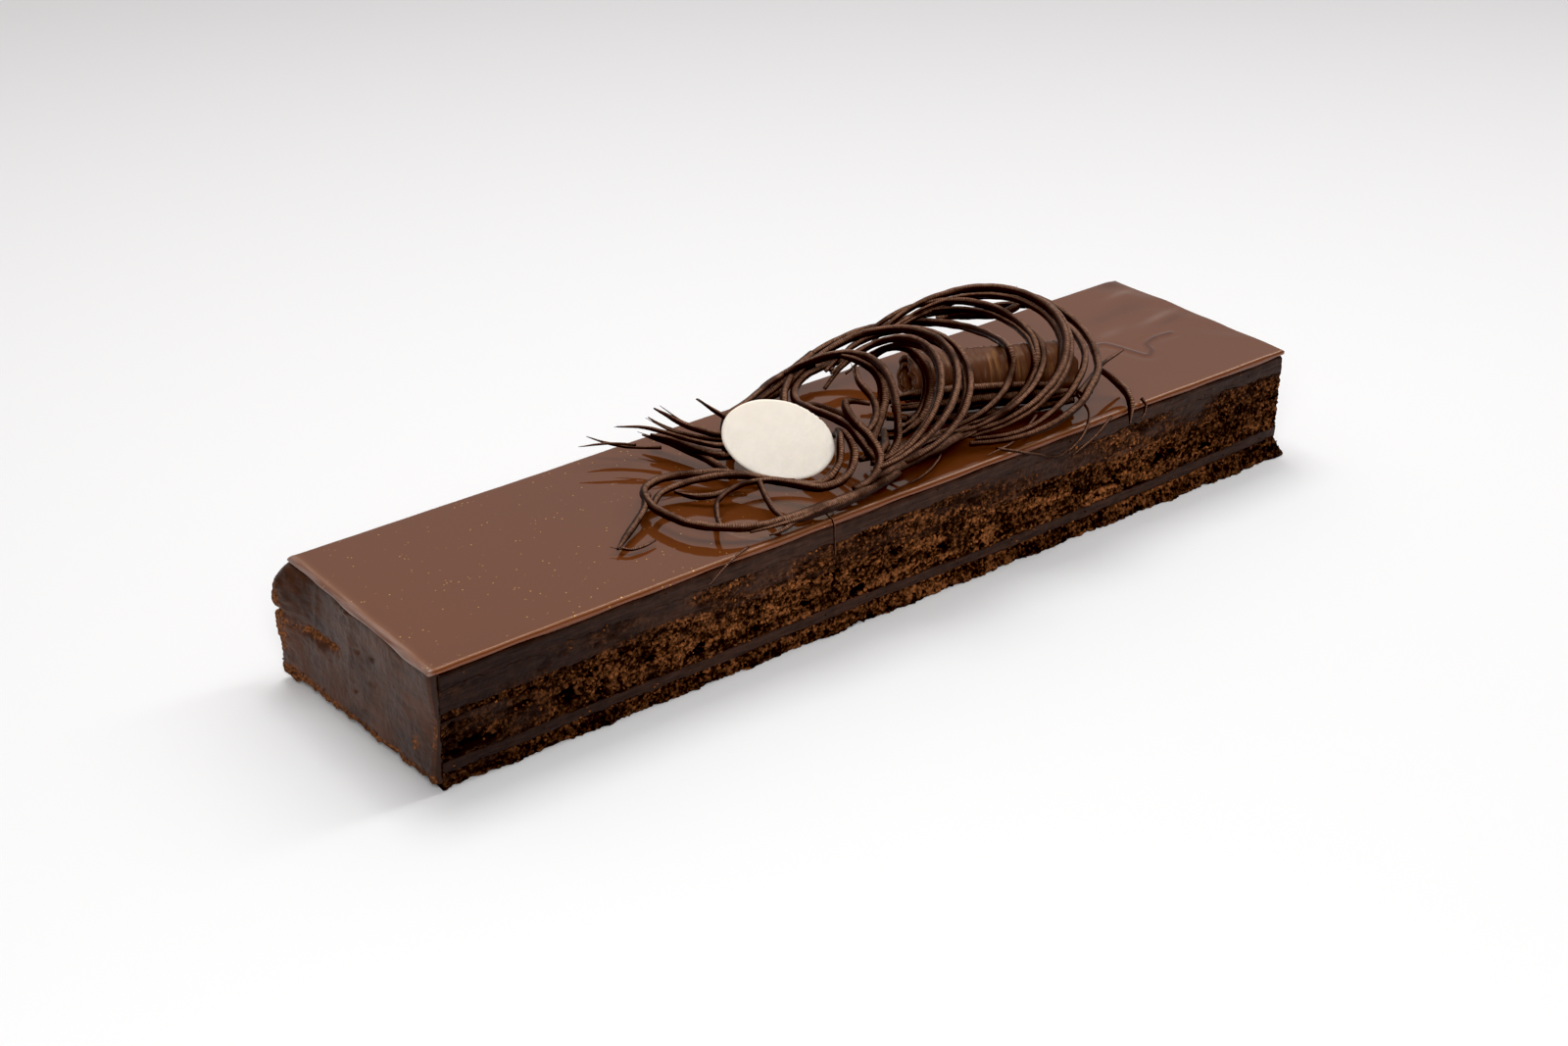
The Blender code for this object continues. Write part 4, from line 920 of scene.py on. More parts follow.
def nest_lines():
    """Every strand of the nest as rows of x, y, z and radius, in millimetres."""
    dice = random.Random(21)
    lines = []
    for index, (centre, radius, lean, low, start, sweep, size) in enumerate(TURNS):
        line = turn_line(centre, radius, lean, low, start, sweep)
        lines.append(laid(line, (0.5 * size, SLIM * size, 0.5 * size)))
        if index not in DOUBLE:
            continue
        # a thinner strand runs beside the turn, now on one side and now on the other
        normal = turn_axes(lean, low)[0]
        t = np.linspace(0.0, 1.0, len(line))[:, None]
        phase = dice.uniform(0.0, 6.28)
        outward = (line - np.array(centre)) / radius
        beside = normal * (1.2 * np.cos(3.1 * t + phase) - 1.4)
        beside = line + (beside + outward * (-1.9 + 0.7 * np.sin(2.3 * t + phase)))
        lines.append(laid(beside[: len(line) - dice.randrange(0, 3)], (0.3, 0.78 * size, 0.3)))
    for course, first, middle, last in COURSES:
        line = spline(course, STEP)
        lines.append(laid(line, (SLIM * first, SLIM * middle, SLIM * last)))
        if middle >= 1.25 and len(line) > 5:
            t = np.linspace(0.0, 1.0, len(line))[:, None]
            ahead = np.gradient(line, axis=0)
            side = np.cross(ahead, (0.0, 0.0, 1.0))
            side /= np.maximum(np.linalg.norm(side, axis=1, keepdims=True), 1e-6)
            phase = dice.uniform(0.0, 6.28)
            beside = line + side * 2.1 * np.cos(2.4 * t + phase)
            beside = beside + np.array([0, 0, 0.9]) * np.sin(3 * t + phase)
            lines.append(laid(beside, (0.3, 0.62, 0.3)))
        if first <= 0.4:
            # a splinter at a torn end
            tip = line[: max(3, len(line) // 2)].copy()
            lean = np.array([dice.uniform(low, high) for low, high in ((-1, 1), (-1, 1), (-0.5, 0.8))])
            fade = np.linspace(1.0, 0.0, len(tip))[:, None]
            lines.append(laid(tip + lean * 2.4 * fade, (0.06, 0.22, 0.4)))
    for course, first, middle, last in THREADS:
        line = spline(course, 3.0)
        lines.append(np.column_stack([line, thickness(len(line), first, middle, last)]))
    return lines


# -------------------------------------------------------------- settings, tools

class CakeSizes(bpy.types.PropertyGroup):
    def length(label, about, value, least=0.0):
        return bpy.props.FloatProperty(
            name=label, description=about, default=value, min=least, unit="LENGTH")

    grid: length("Wall grid", "Distance between the points of a crumb wall", 0.0005, 0.0002)
    grain: length("Grain", "Width of one grain of the crumb", 0.0017, 0.0001)
    crumb_depth: length("Crumb depth", "How far the grains stand out", 0.0008)
    hole_depth: length("Hole depth", "How deep the torn holes go", 0.0023)
    raggedness: length("Raggedness", "Unevenness of a shaved strand", 0.00009)
    del length


class CakeFinishes(bpy.types.PropertyGroup):
    def shade(label, value):
        return bpy.props.FloatVectorProperty(
            name=label, description=label + " colour", subtype="COLOR", size=3, default=value,
            min=0.0, max=1.0)

    crumb: shade("Crumb", (0.272, 0.098, 0.034))
    ganache: shade("Ganache", (0.040, 0.0180, 0.0112))
    glaze: shade("Glaze", (0.110, 0.030, 0.008))
    gold: shade("Gold dust", (0.75, 0.42, 0.12))
    coat: shade("Smeared end", (0.060, 0.023, 0.0115))
    curls: shade("Curls", (0.0120, 0.0032, 0.0015))
    # the colour of the painted highlight along the crest of the curls
    bloom_and_highlight: shade("Bloom on the curls", (0.40, 0.205, 0.128))
    roll: shade("Roll", (0.085, 0.031, 0.015))
    # bronze streaks on the roll: partly dust, partly a painted sheen
    bronze: shade("Bronze dust", (0.42, 0.20, 0.07))
    plaque: shade("White chocolate", (0.97, 0.88, 0.76))
    del shade


class CAKE_OT_sponges(bpy.types.Operator):
    """Make the three sponge layers with torn crumb on every cut face"""

    bl_idname = "cake.sponges"
    bl_label = "Sponge layers"

    def execute(self, context):
        sizes, shades = context.scene.cake_sizes, context.scene.cake_finishes
        tree = crumb_tree()
        finish = cut_finish("sponge", shades.crumb, tinted(shades.ganache, 1.0))
        grid = sizes.grid / MM

        def foot(x, y, z, nx, ny, share):
            along = share_along(x)
            reach = np.where(ny < 0, along * 1.1 - 0.25, 1.15 - 0.45 * along)
            lumps = 0.22 * np.sin(x / 1.9) + 0.18 * np.sin(x / 1.13 + 1.0)
            lumps += 0.5 * np.sin(x / 5.3 + y / 9.0)
            out = (FOOT * reach * (1.0 - share) ** 1.5 + lumps * (1.0 - share) ** 0.7) * (ny != 0)
            return out, 1.0 - 0.3 * (share == 1.0), smears(x, ny, 0.06, 0.10) * 0.7

        def middle(x, y, z, nx, ny, share):
            return 0.0, 0.75 + 0.25 * math.sin(math.pi * share), smears(x, ny, 0.08, 0.12) * 0.8

        def top(x, y, z, nx, ny, share):
            patches = (0.7 * hump(x, -106, 14) * (share > 0.2) + 0.35 * hump(x, 55, 22)
                       + 0.4 * hump(x, -52, 14))
            smear = smears(x, ny, 0.46, 0.35) + (ny < 0) * patches * (0.4 + 0.6 * share)
            return 0.0, 0.75 + 0.25 * math.sin(math.pi * share), smear

        rows = (
            ("sponge_base", level(0.0), FIRST_SEAM, foot, 11, 0.66),
            ("sponge_middle", SECOND_SEAM, THIRD_SEAM, middle, 12, 0.60),
            ("sponge_top", FOURTH_SEAM, LAST_SEAM, top, 13, 0.63),
        )
        for name, bottom, over, shape, seed, holes in rows:
            made = layer(name + "_cut", bottom, over, grid, shape)
            made = grown(made, tree, {
                "Crumb depth": sizes.crumb_depth, "Grain": sizes.grain,
                "Hole depth": sizes.hole_depth, "Holes": holes, "Seed": seed,
                "Crumbs": 90000.0, "Crumb size": 0.00055, "Material": finish})
            settled(made, name)
        return {"FINISHED"}


class CAKE_OT_ganache(bpy.types.Operator):
    """Make the three ganache layers, spread smooth by the knife"""

    bl_idname = "cake.ganache"
    bl_label = "Ganache layers"

    def execute(self, context):
        shades = context.scene.cake_finishes
        smooth_tree, mixed_tree = paste_tree(), bpy.data.node_groups["torn_crumb"]
        finish = cut_finish("ganache", shades.crumb, shades.ganache)

        def even_face(x, y, z, nx, ny, share):
            return 0.1, 0.9, 1.0

        def under_lip(x, y, z, nx, ny, share):
            return 0.1 - 0.9 * max(0.0, (share - 0.86) / 0.14), 0.9, 1.0

        def dusty(x, y, z, nx, ny, share):
            return -0.1, 0.9, 0.40

        rows = (
            ("ganache_lower", FIRST_SEAM, SECOND_SEAM, 0.7, even_face, smooth_tree,
             {"Seed": 3, "Crumbs": 60000.0}),
            ("ganache_middle", THIRD_SEAM, FOURTH_SEAM, 0.5, dusty, mixed_tree,
             {"Crumb depth": 0.0006, "Hole depth": 0.0012, "Holes": 0.66, "Crumbs": 90000.0,
              "Seed": 4}),
            ("ganache_top", LAST_SEAM, level(TOP_GANACHE_TOP), 0.6, under_lip, smooth_tree,
             {"Stroke depth": 0.0004, "Seed": 5, "Crumbs": 30000.0}),
        )
        for name, bottom, over, step, shape, tree, values in rows:
            made = layer(name + "_cut", bottom, over, step, shape)
            settled(grown(made, tree, {**values, "Material": finish}), name)
        return {"FINISHED"}


class CAKE_OT_glaze(bpy.types.Operator):
    """Make the poured glaze with its rounded lip and the ripples where it set"""

    bl_idname = "cake.glaze"
    bl_label = "Glaze"

    # A fold in the glaze, where something touched it as it set.
    FOLD = ((134, 5), (140.1, 2.7), (144.2, 0.6), (146.6, -8.4), (148.7, -15.9), (153.6, -13.8),
            (156.7, -8.3), (164.3, -6.2), (172, -6.6))
    # How the edge rounds over: how far in, and the share of the height.
    EDGE = ((1.6, 0.0), (0.75, 0.05), (0.30, 0.16), (0.05, 0.32), (0.0, 0.48), (0.06, 0.60),
            (0.20, 0.72), (0.42, 0.82), (0.75, 0.90), (1.15, 0.955), (1.65, 0.985), (2.2, 1.0))
    # Soft swellings behind the fold and towards the far corner, which dips.
    SWELLINGS = ((161.0, 2.0, 9.0, 6.0, 0.40), (183.0, 9.0, 8.0, 7.0, 0.30),
                 (181.0, 33.0, 10.0, 7.0, 0.45), (196.0, 40.0, 6.0, 12.0, -0.9))
    # Painted sheen (above nought) and painted shade near the fold and the far corner: x, y, half widths,
    # how much.
    PAINTED_SHEEN_AND_SHADE = (
        (180.0, 7.3, 10.0, 1.8, 0.40), (181.8, 2.2, 9.0, 2.2, -0.35), (152.3, 7.2, 7.0, 2.5, 0.20),
        (160.5, 19.7, 10.0, 4.0, -0.25), (177.1, 20.7, 9.0, 5.0, -0.30), (184.8, 32.7, 8.0, 1.8, 0.35),
        (188.6, 42.5, 7.0, 5.0, -0.60),
    )

    def from_fold(self, x, y):
        """How far each spot lies from the fold, in millimetres."""
        line = spline([(*spot, 0.0) for spot in self.FOLD], 1.0)[:, :2]
        near = (np.abs(x - 153.0) < 26.0) & (np.abs(y + 5.0) < 18.0)
        gap = np.full_like(x, 99.0)
        gap[near] = np.min([np.hypot(x[near] - a, y[near] - b) for a, b in line], axis=0)
        return gap

    def clouds(self, x, y):
        """How much painted sheen each spot gets above nought and painted shade below it, with a painted
        shadow along the fold's own line.
        """
        return humps(x, y, self.PAINTED_SHEEN_AND_SHADE, 0.12) - 0.9 * hump(self.from_fold(x, y), 0.0, 0.9)

    def surface(self, x, y):
        """Height of the glaze, in millimetres."""
        top = HEIGHT + 0.10 * np.sin(x / 31.0 + y / 20.0)
        top += 0.05 * np.sin(x / 17.0 - y / 21.0)
        gap = self.from_fold(x, y)
        top += 0.34 * hump(gap, 0.0, 1.3) - 0.22 * hump(gap, 2.6, 1.5)
        top += humps(x, y, self.SWELLINGS)
        # ripples at both ends
        top += 0.22 * np.sin(x / 4.7 + y / 3.9) * hump(x, 190.0, 7.0)
        top += 0.16 * np.sin(y / 2.6 + 1.0) * hump(x, -194.0, 2.6)
        top += 0.12 * np.sin(y / 5.7) * hump(x, -192.0, 4.0)
        return top

    def execute(self, context):
        shades = context.scene.cake_finishes
        x, y = outline(0.9)[0][:, :2].T
        wander = 0.14 * np.sin(x / 11.0 + y / 7.0) + 0.07 * np.sin(x / 3.1 + y / 2.3)
        soft = 0.35 * np.sin(y / 6.3 + 0.5) + 0.22 * np.sin(y / 2.9)
        droop = 0.30 * (np.sin(x / 17.0 + y / 5.0) + np.sin(x / 6.3 - y / 4.0))
        points = []
        for inset, share in self.EDGE:
            plan, n, m = outline(
                0.9, COAT + ROLL_OVER + 0.3 - 2.3 * inset, LIP - inset, LIP - inset)
            stray = wander * (1.0 - 0.6 * share)
            px, py = plan[:, 0], plan[:, 1] + plan[:, 3] * stray
            px = px + (plan[:, 2] > 0) * stray - (plan[:, 2] < 0) * soft * (1.0 - share)
            low = TOP_GANACHE_TOP - 0.1 - droop * (1 - share) ** 2 * (share > 0)
            points.append(np.stack([px, py, low * (1.0 - share) + self.surface(px, py) * share], 1))
        count, last = len(points[0]), len(points) - 1
        ring = points[-1]
        front, back = ring[: n + 1], ring[n + m : 2 * n + m + 1][::-1]
        left, right = ring[2 * n + m + 1 :][::-1], ring[n + 1 : n + m]
        j = np.linspace(0.0, 1.0, m + 1)[1:-1, None]
        i = np.linspace(0.0, 1.0, n + 1)[None, 1:-1]
        inner = np.stack([left[:, :1] * (1 - i) + right[:, :1] * i,
                          front[None, 1:-1, 1] * (1 - j) + back[None, 1:-1, 1] * j], -1).reshape(-1, 2)
        inner = np.column_stack([inner, self.surface(inner[:, 0], inner[:, 1])])
        grid = np.empty((m + 1, n + 1), int)
        first = last * count
        grid[0] = first + np.arange(n + 1)
        grid[m] = (first + n + m + np.arange(n + 1))[::-1]
        grid[1:m, n] = first + n + 1 + np.arange(m - 1)
        grid[1:m, 0] = (first + 2 * n + m + 1 + np.arange(m - 1))[::-1]
        grid[1:m, 1:n] = (last + 1) * count + np.arange((m - 1) * (n - 1)).reshape(m - 1, n - 1)
        quads = np.stack([grid[:-1, :-1], grid[:-1, 1:], grid[1:, 1:], grid[1:, :-1]], -1)
        walled = rings(last + 1, count) + quads.reshape(-1, 4).tolist()
        under = lid(0, n, m, False)
        spots = np.concatenate(points + [inner])
        x, y = spots[:, 0], spots[:, 1]
        # the drawn-over edge fades into the mirror of the top
        fade = np.clip((-190.9 - x + 0.06 * y) / 1.5, 0.0, 1.0)
        shares = np.repeat([share for _, share in self.EDGE], count)
        shares = np.concatenate([shares, np.ones(len(inner))])
        # painted sheen and shade on the top near the fold; the lip's painted highlight and edge light
        # follow the share of its height
        tone = self.clouds(x, y)
        made = piece("glaze_sheet", spots, walled + under, {
            "drawn": eased(fade), "lip_highlight": hump(shares, 0.86, 0.08),
            "painted_edge_light": hump(shares, 0.45, 0.20), "painted_sheen": np.maximum(tone, 0.0),
            "painted_shade": np.maximum(-tone, 0.0)}, [True] * len(walled) + [False] * len(under))
        made.data.materials.append(glaze_finish(shades.glaze, shades.gold, shades.coat))
        settled(made, "glaze")
        return {"FINISHED"}


class CAKE_OT_end_coat(bpy.types.Operator):
    """Make the chocolate smeared over the left end, with its break and its swollen corner"""

    bl_idname = "cake.end_coat"
    bl_label = "Smeared left end"

    # Bumps and pits: distance from the back corner, height, half widths of both, how far out.
    MARKS = (
        (17.5, 34.0, 1.3, 7.5, 0.55), (39.5, 27.0, 2.0, 12.0, 0.40), (22.0, 22.3, 2.3, 1.2, -2.0),
        (45.0, 30.0, 1.4, 0.7, -0.8), (53.0, 31.0, 1.5, 0.7, -0.8), (43.5, 15.0, 1.3, 0.6, -0.9),
        (50.0, 11.0, 2.2, 0.6, -0.7), (55.0, 23.0, 3.5, 0.7, -0.5), (66.0, 22.0, 2.0, 0.8, -0.4),
        (37.5, 41.0, 1.6, 1.0, 1.1), (87.0, 43.0, 1.6, 1.2, 0.9), (8.0, 12.0, 6.0, 4.0, 0.35),
        (30.0, 14.0, 7.0, 3.0, -0.3), (62.0, 36.0, 12.0, 2.5, 0.25), (70.0, 29.0, 9.0, 2.0, -0.25),
    )
    # Where crumb shows through, in the same way.
    BARE = (
        (80.0, 14.0, 4.0, 5.0, 0.5), (0.0, 17.0, 6.0, 9.0, 0.62), (6.0, 5.0, 4.0, 3.0, 0.5),
        (89.0, 20.0, 1.6, 12.0, 0.45), (0.0, 31.0, 3.0, 6.0, 1.0),
    )
    # How far the back corner swells out, at each height.
    CORNER = (
        (3.0, 0.30), (7.0, 0.26), (13.5, 0.42), (21.7, 0.72), (23.6, 0.80), (24.9, 0.76),
        (25.9, 0.60), (26.8, 0.70), (28.2, 0.94), (31.5, 1.04), (35.0, 0.97), (38.5, 0.72),
        (41.0, 0.46), (42.3, 0.30),
    )

    def execute(self, context):
        shades = context.scene.cake_finishes
        low = FOOT_STEP + 0.2
        wide, tall = 190, 84
        j, k = np.meshgrid(np.arange(wide + 1), np.arange(tall + 1), indexing="xy")
        share = k / tall
        y = COAT_FRONT + (COAT_BACK - COAT_FRONT) * j / wide
        ragged = 0.35 * np.sin(y / 1.3) + 0.3 * np.sin(y / 0.71 + 1.0) + 0.35 * np.sin(y / 3.7)
        z = low + ragged * (1 - share) ** 3 + (TOP_GANACHE_TOP + 0.1 - low) * share
        d = WIDTH / 2 - y
        swell = hump(y, 45.0, 9.0) * np.interp(z, *np.array(self.CORNER).T)
        swell = swell * (1.0 + 0.06 * np.sin(z / 0.9) * np.sin(y / 1.1))
        hollow = hump(y, -44.0, 4.5) * hump(z, 24.0, 7.0)
        edge = 0.7 * np.sin(d / 2.1) + 0.5 * np.sin(d / 0.9)
        crack = hump(d, 20.0, 12.0) * hump(z, 23.8 + 0.25 * edge + 0.03 * (d - 20.0), 1.9)
        out = COAT + 5.9 * swell - 1.7 * hollow - 1.6 * crack
        out = out + LEAN * (1.0 - share) * (y / WIDTH + 0.5)
        out = out + humps(d, z, self.MARKS, 0.18)
        out = out + 0.22 * np.sin(d / 4.3 + z / 6.1) + 0.16 * np.sin(d / 2.7 - z / 3.3 + 1.0)
        out = out - 0.9 * hump(share, 0.0, 0.03) - 0.5 * hump(share, 1.0, 0.03)
        out = out - 0.9 * (hump(j / wide, 0.0, 0.008) + hump(j / wide, 1.0, 0.008))
        side = (4.2 * swell + 1.2 * (1.0 - share) ** 2) * (j / wide) ** 24
        bare = (1.1 * crack + 1.25 * hump(z, low, 3.0) + humps(d, z, self.BARE)).ravel()
        front = np.stack([left_line(y) - 0.3 - out, y + side, z], -1).reshape(-1, 3)
        back = front.copy()
        back[:, 1] = np.minimum(back[:, 1], COAT_BACK)
        back[:, 0] = left_line(back[:, 1]) + 0.2
        ones, none = np.ones(len(front)), np.zeros(len(front))
        faces = sheet_faces(tall + 1, wide + 1, mirrored=True)
        made = piece("end_coat_smear", np.concatenate([front, back]), faces, {
            "wall": np.concatenate([ones, none]), "bare": np.concatenate([bare, none]),
            "smear": np.concatenate([1.0 - 1.3 * bare, ones]),
            "turned": np.tile((j == 0).ravel().astype(float), 2),
            "out": np.tile((-1.0, 0.0, 0.0), (2 * len(front), 1))})
        made = grown(made, bpy.data.node_groups["torn_crumb"], {
            "Crumb depth": 0.0006, "Hole depth": 0.0006, "Holes": 0.7, "Crumbs": 120000.0,
            "Patchiness": 0.15, "Seed": 7, "Material": coat_finish(shades.coat, shades.crumb)})
        settled(made, "end_coat")
        return {"FINISHED"}


class CAKE_OT_roll(bpy.types.Operator):
    """Make the rolled sheet of chocolate, open at both ends"""

    bl_idname = "cake.roll"
    bl_label = "Chocolate roll"

    def execute(self, context):
        shades = context.scene.cake_finishes
        left, right = np.array(ROLL_LEFT), np.array(ROLL_RIGHT)
        length = np.linalg.norm(right - left)
        along, side, up = axes_from(right - left)
        steps, stations = 230, 96
        k, s = np.meshgrid(np.arange(steps + 1), np.arange(stations + 1), indexing="xy")
        share = k / steps
        turned = 2 * math.pi * ROLL_TURNS * share
        angle = math.radians(ROLL_START) + turned
        # the sheet slips inwards under itself twice
        slips = [np.clip((np.degrees(turned) - start) / 150.0, 0.0, 1.0) for start in (200.0, 530.0)]
        drop = sum(eased(t) for t in slips)
        at = s / stations
        # each end is a little ragged, and the sheet bears the ring marks of the scraper
        ragged = 0.45 * np.sin(5 * angle) + 0.3 * np.sin(11 * angle + 1.0)
        distance = at * length + ragged * (np.where(at < 0.5, 1 - 2 * at, 2 * at - 1)) ** 6
        outer = ROLL_RADIUS - 0.15 - ROLL_PITCH * drop
        outer = outer + 0.12 * np.sin(3 * angle + 5.2 * at)
        outer = outer + 0.11 * np.sin(distance * 2.1) + 0.08 * np.sin(distance * 4.7 + 1.0)
        outer = outer - 0.35 * np.maximum(0, 1 - np.minimum(at, 1 - at) * stations / 1.5) ** 2
        blunt = np.maximum(0, 1 - np.minimum(share, 1 - share) * steps / 2) ** 2
        thick = ROLL_SHEET * (1 - 0.45 * blunt)
        ray = side * np.cos(angle)[..., None] + up * np.sin(angle)[..., None]
        spine = left + along * distance[..., None]
        skin = (spine + ray * outer[..., None]).reshape(-1, 3)
        lining = (spine + ray * (outer - thick)[..., None]).reshape(-1, 3)
        faces = sheet_faces(stations + 1, steps + 1)
        made = piece("rolled_sheet", np.concatenate([skin, lining]), faces)
        mesh = made.data
        uv = mesh.uv_layers.new(name="sheet")
        sheet = np.stack([(turned * ROLL_RADIUS / 60.0).ravel(), (distance / 60.0).ravel()], 1)
        sheet = np.concatenate([sheet, sheet + 0.37])
        corner = np.empty(len(mesh.loops), np.int32)
        mesh.loops.foreach_get("vertex_index", corner)
        uv.data.foreach_set("uv", sheet[corner].astype(np.float32).ravel())
        facing_out(mesh)
        mesh.materials.append(roll_finish(shades.roll, shades.bronze))
        settled(made, "chocolate_roll")
        return {"FINISHED"}


def facing_out(mesh):
    """Turns every face of a closed mesh outwards."""
    heap = bmesh.new()
    heap.from_mesh(mesh)
    bmesh.ops.recalc_face_normals(heap, faces=heap.faces)
    heap.to_mesh(mesh)
    heap.free()


class CAKE_OT_plaque(bpy.types.Operator):
    """Make the oval of white chocolate, left bare, with its crumbled upper edge"""

    bl_idname = "cake.plaque"
    bl_label = "Plaque"

    # How the edge rounds over: share of the thickness, and how far in.
    ROUND = ((-0.5, 8.0), (-0.5, 1.2), (-0.46, 0.45), (-0.30, 0.12), (-0.1, 0.0), (0.12, 0.0),
             (0.32, 0.10), (0.45, 0.34), (0.5, 0.8), (0.5, 1.5), (0.5, 4.0), (0.5, 8.0))

    def execute(self, context):
        shades = context.scene.cake_finishes
        count = 240
        facing, side, up = axes_from(PLAQUE_FACES)
        turn = math.radians(PLAQUE_TURN)
        right = -side * math.cos(turn) - up * math.sin(turn)
        over = side * math.sin(turn) + up * math.cos(turn)
        angle = 2 * math.pi * np.arange(count) / count
        worn = np.clip(1.3 - np.abs(np.degrees(angle) - 48.0) / 26.0, 0.0, 1.0)
        chips = 0.08 + 0.10 * np.sin(angle * 31) + 0.10 * np.sin(angle * 57 + 1)
        chips = worn * (chips + 0.09 * np.sin(angle * 97))
        chips = np.maximum(chips, 0.0) + 0.05 * np.sin(angle * 9)
        points = []
        for depth, inset in self.ROUND:
            fade = math.exp(-inset / 1.0)
            a = PLAQUE_LONG / 2 - inset - chips * fade * (1.0 + 0.35 * math.sin(9 * depth))
            b = PLAQUE_SHORT / 2 - inset - chips * fade
            spot = np.outer(a * np.cos(angle), right) + np.outer(b * np.sin(angle), over)
            points.append(np.array(PLAQUE_AT) + spot + facing * PLAQUE_THICK * depth)
        faces = rings(len(points), count)
        faces.append(tuple(range(count))[::-1])
        faces.append(tuple(range((len(points) - 1) * count, len(points) * count)))
        made = piece("plaque_oval", np.concatenate(points), faces)
        facing_out(made.data)
        made.data.materials.append(plaque_finish(shades.plaque))
        settled(made, "plaque")
        return {"FINISHED"}


class CAKE_OT_curls(bpy.types.Operator):
    """Make the nest: turns of a fallen coil, broken strands, splinters and threads"""

    bl_idname = "cake.curls"
    bl_label = "Nest of curls"

    def execute(self, context):
        sizes, shades = context.scene.cake_sizes, context.scene.cake_finishes
        points, edges, thick = [], [], []
        for line in nest_lines():
            first = len(points)
            points += ((line[:, :3] + SHIFT) * MM).tolist()
            thick += (np.maximum(line[:, 3], 0.08) * MM).tolist()
            edges += [(first + i, first + i + 1) for i in range(len(line) - 1)]
        mesh = bpy.data.meshes.new("nest_lines")
        mesh.from_pydata(points, edges, [])
        mesh.attributes.new("thick", "FLOAT", "POINT").data.foreach_set("value", thick)
        made = bpy.data.objects.new("nest_of_curls", mesh)
        context.scene.collection.objects.link(made)
        made = grown(made, strand_tree(), {
            "Raggedness": sizes.raggedness, "Seed": 6, "Step": 0.0009, "Sides": 10,
            "Material": curl_finish(shades.curls, shades.bloom_and_highlight)})
        settled(made, "curls")
        return {"FINISHED"}


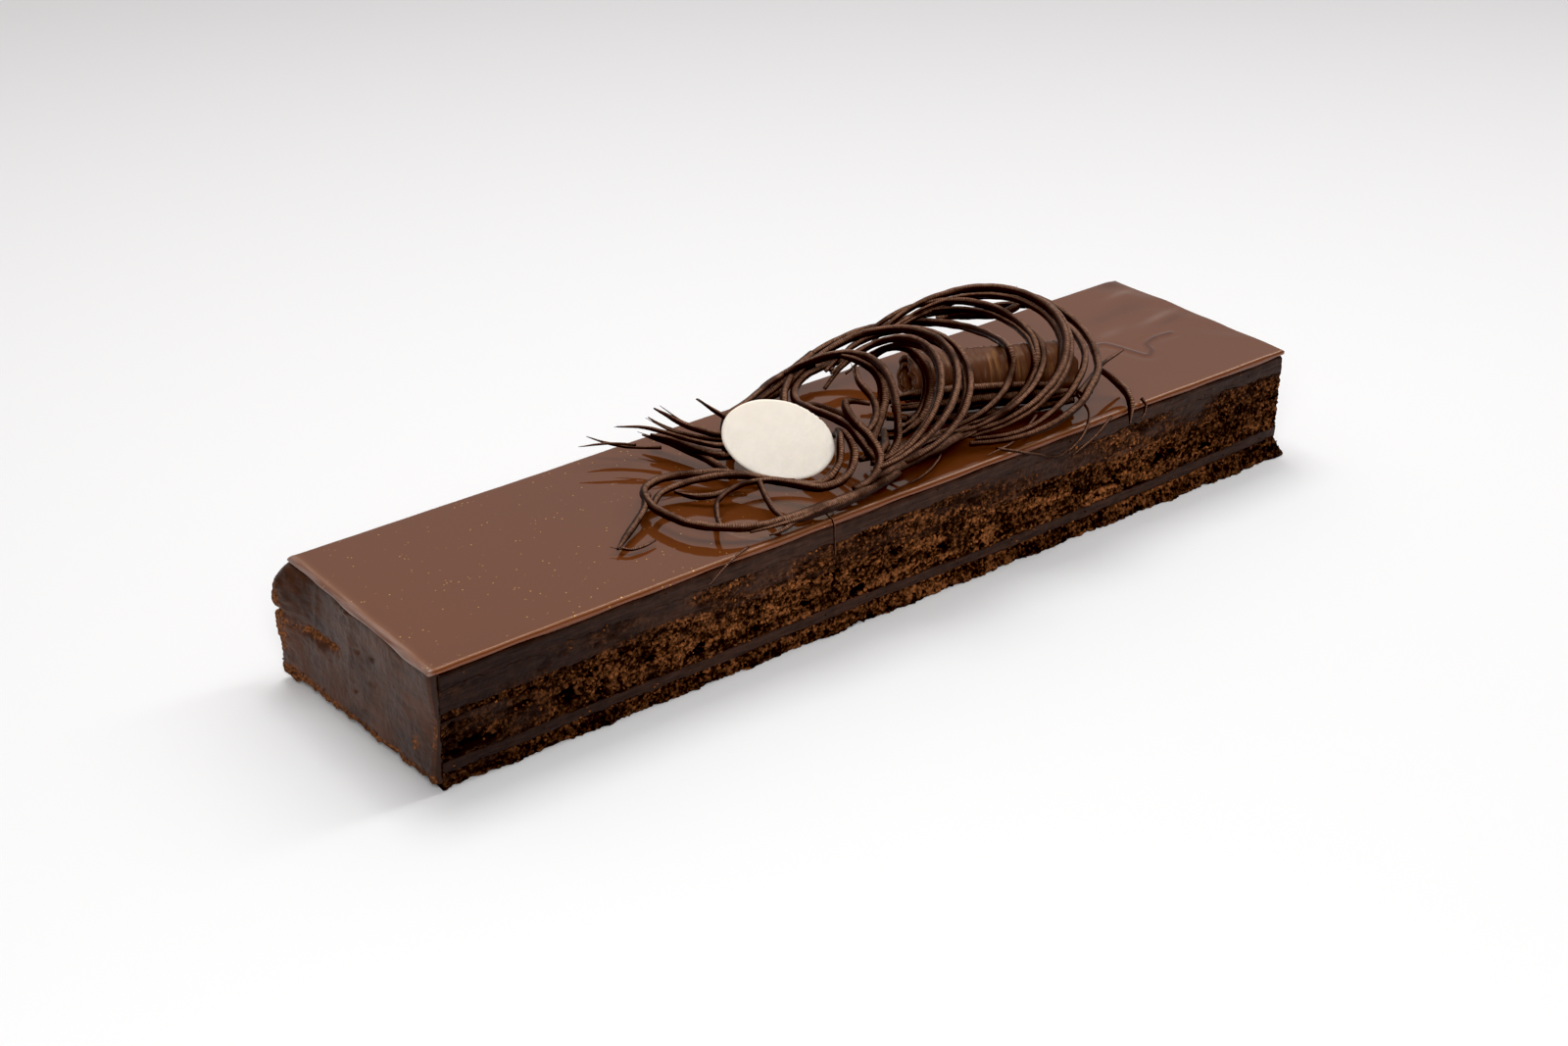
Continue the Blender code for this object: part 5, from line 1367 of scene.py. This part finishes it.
class CAKE_OT_stage(bpy.types.Operator):
    """Set the pale floor, the soft light and the camera"""

    bl_idname = "cake.stage"
    bl_label = "Floor, light and camera"

    # Lamps: where, width, height, power.
    LAMPS = (((0.08, 0.40, 1.15), 0.55, 0.55, 5.4), ((0.72, -0.10, 1.05), 0.2, 1.2, 4.6),
             ((-0.75, -0.85, 0.80), 0.5, 0.5, 8.6))
    LOOKED_AT = Vector((0.0, 0.0, 0.03))
    LENS, FILM_WIDTH = 62.856, 36.0

    def execute(self, context):
        scene = context.scene
        scene.view_settings.view_transform = "Standard"
        scene.view_settings.use_curve_mapping = True
        film = scene.view_settings.curve_mapping
        film.black_level = (0.0045, 0.0045, 0.004)
        film.update()
        mesh = bpy.data.meshes.new("floor")
        mesh.from_pydata([(-4, -4, 0), (4, -4, 0), (4, 4, 0), (-4, 4, 0)], [], [(0, 1, 2, 3)])
        floor = bpy.data.objects.new("floor", mesh)
        floor.location.z = -0.0002
        scene.collection.objects.link(floor)
        made, graph, place = finish_named("floor")
        # painted falloff of light: the floor darkens away from the camera, towards the back
        paper_with_painted_falloff = graph.tones(graph.ramp(graph.dot(place, BACKWARDS), 0.05, 1.3), (
            (0.0, (0.84, 0.85, 0.86)), (1.0, (0.66, 0.655, 0.67))))
        dressed(made, graph, Base_Color=paper_with_painted_falloff, Roughness=0.9, Specular_IOR_Level=0.1)
        mesh.materials.append(made)

        # a bright backdrop behind the cake, a paler ceiling and a darker room in front
        world = bpy.data.worlds.new("studio")
        world.use_nodes = True
        graph = Graph(world.node_tree)
        way = graph.add("ShaderNodeTexCoord", out="Generated")
        up = graph.axis(way, "Z")
        room = graph.ramp(graph.dot(way, BACKWARDS), -0.15, 0.60, 0.07, 0.64)
        room = room * graph.ramp(up, 0.22, 0.62, 0.78, 1.22)
        back = world.node_tree.nodes["Background"].inputs
        graph.put(back["Color"], (1.0, 0.94, 0.905, 1.0))
        graph.put(back["Strength"], room + graph.ramp(up, 0.35, 0.9, 0.0, 0.18))
        scene.world = world

        for spot, wide, tall, energy in self.LAMPS:
            lamp = bpy.data.lights.new("softbox", "AREA")
            lamp.shape = "RECTANGLE"
            lamp.size, lamp.size_y = wide, tall
            lamp.energy = energy
            lamp_at = bpy.data.objects.new("softbox", lamp)
            lamp_at.location = spot
            aim = (self.LOOKED_AT - Vector(spot)).to_track_quat("-Z", "Y")
            lamp_at.rotation_euler = aim.to_euler()
            scene.collection.objects.link(lamp_at)

        lens = bpy.data.cameras.new("camera")
        lens.lens, lens.sensor_width = self.LENS, self.FILM_WIDTH
        lens.clip_start, lens.clip_end = 0.01, 50.0
        camera = bpy.data.objects.new("camera", lens)
        # columns: to the right, up, away from what it looks at, and where it stands
        camera.matrix_world = Matrix((
            (0.77006, 0.285444, -0.570552, -0.57197), (-0.637858, 0.361382, -0.680104, -0.66222),
            (0.012055, 0.887651, 0.460358, 0.46755), (0, 0, 0, 1)))
        scene.collection.objects.link(camera)
        scene.camera = camera
        return {"FINISHED"}


class CAKE_PT_panel(bpy.types.Panel):
    bl_label = "Brownie cake"
    bl_idname = "CAKE_PT_panel"
    bl_space_type = "VIEW_3D"
    bl_region_type = "UI"
    bl_category = "Cake"

    def draw(self, context):
        for group in (context.scene.cake_sizes, context.scene.cake_finishes):
            box = self.layout.box()
            for key in group.__annotations__:
                box.prop(group, key)
        for tool in TOOLS:
            self.layout.operator(tool.bl_idname)


TOOLS = (CAKE_OT_sponges, CAKE_OT_ganache, CAKE_OT_glaze, CAKE_OT_end_coat, CAKE_OT_roll,
         CAKE_OT_plaque, CAKE_OT_curls, CAKE_OT_stage)
CLASSES = (CakeSizes, CakeFinishes, *TOOLS, CAKE_PT_panel)


def register():
    for made in CLASSES:
        bpy.utils.register_class(made)
    bpy.types.Scene.cake_sizes = bpy.props.PointerProperty(type=CakeSizes)
    bpy.types.Scene.cake_finishes = bpy.props.PointerProperty(type=CakeFinishes)


def unregister():
    del bpy.types.Scene.cake_finishes
    del bpy.types.Scene.cake_sizes
    for made in reversed(CLASSES):
        bpy.utils.unregister_class(made)


def main():
    register()
    for tool in TOOLS:
        make = getattr(bpy.ops.cake, tool.bl_idname.split(".")[1])
        if make() != {"FINISHED"}:
            raise RuntimeError(tool.bl_label + " didn't finish")


if __name__ == "__main__":
    main()
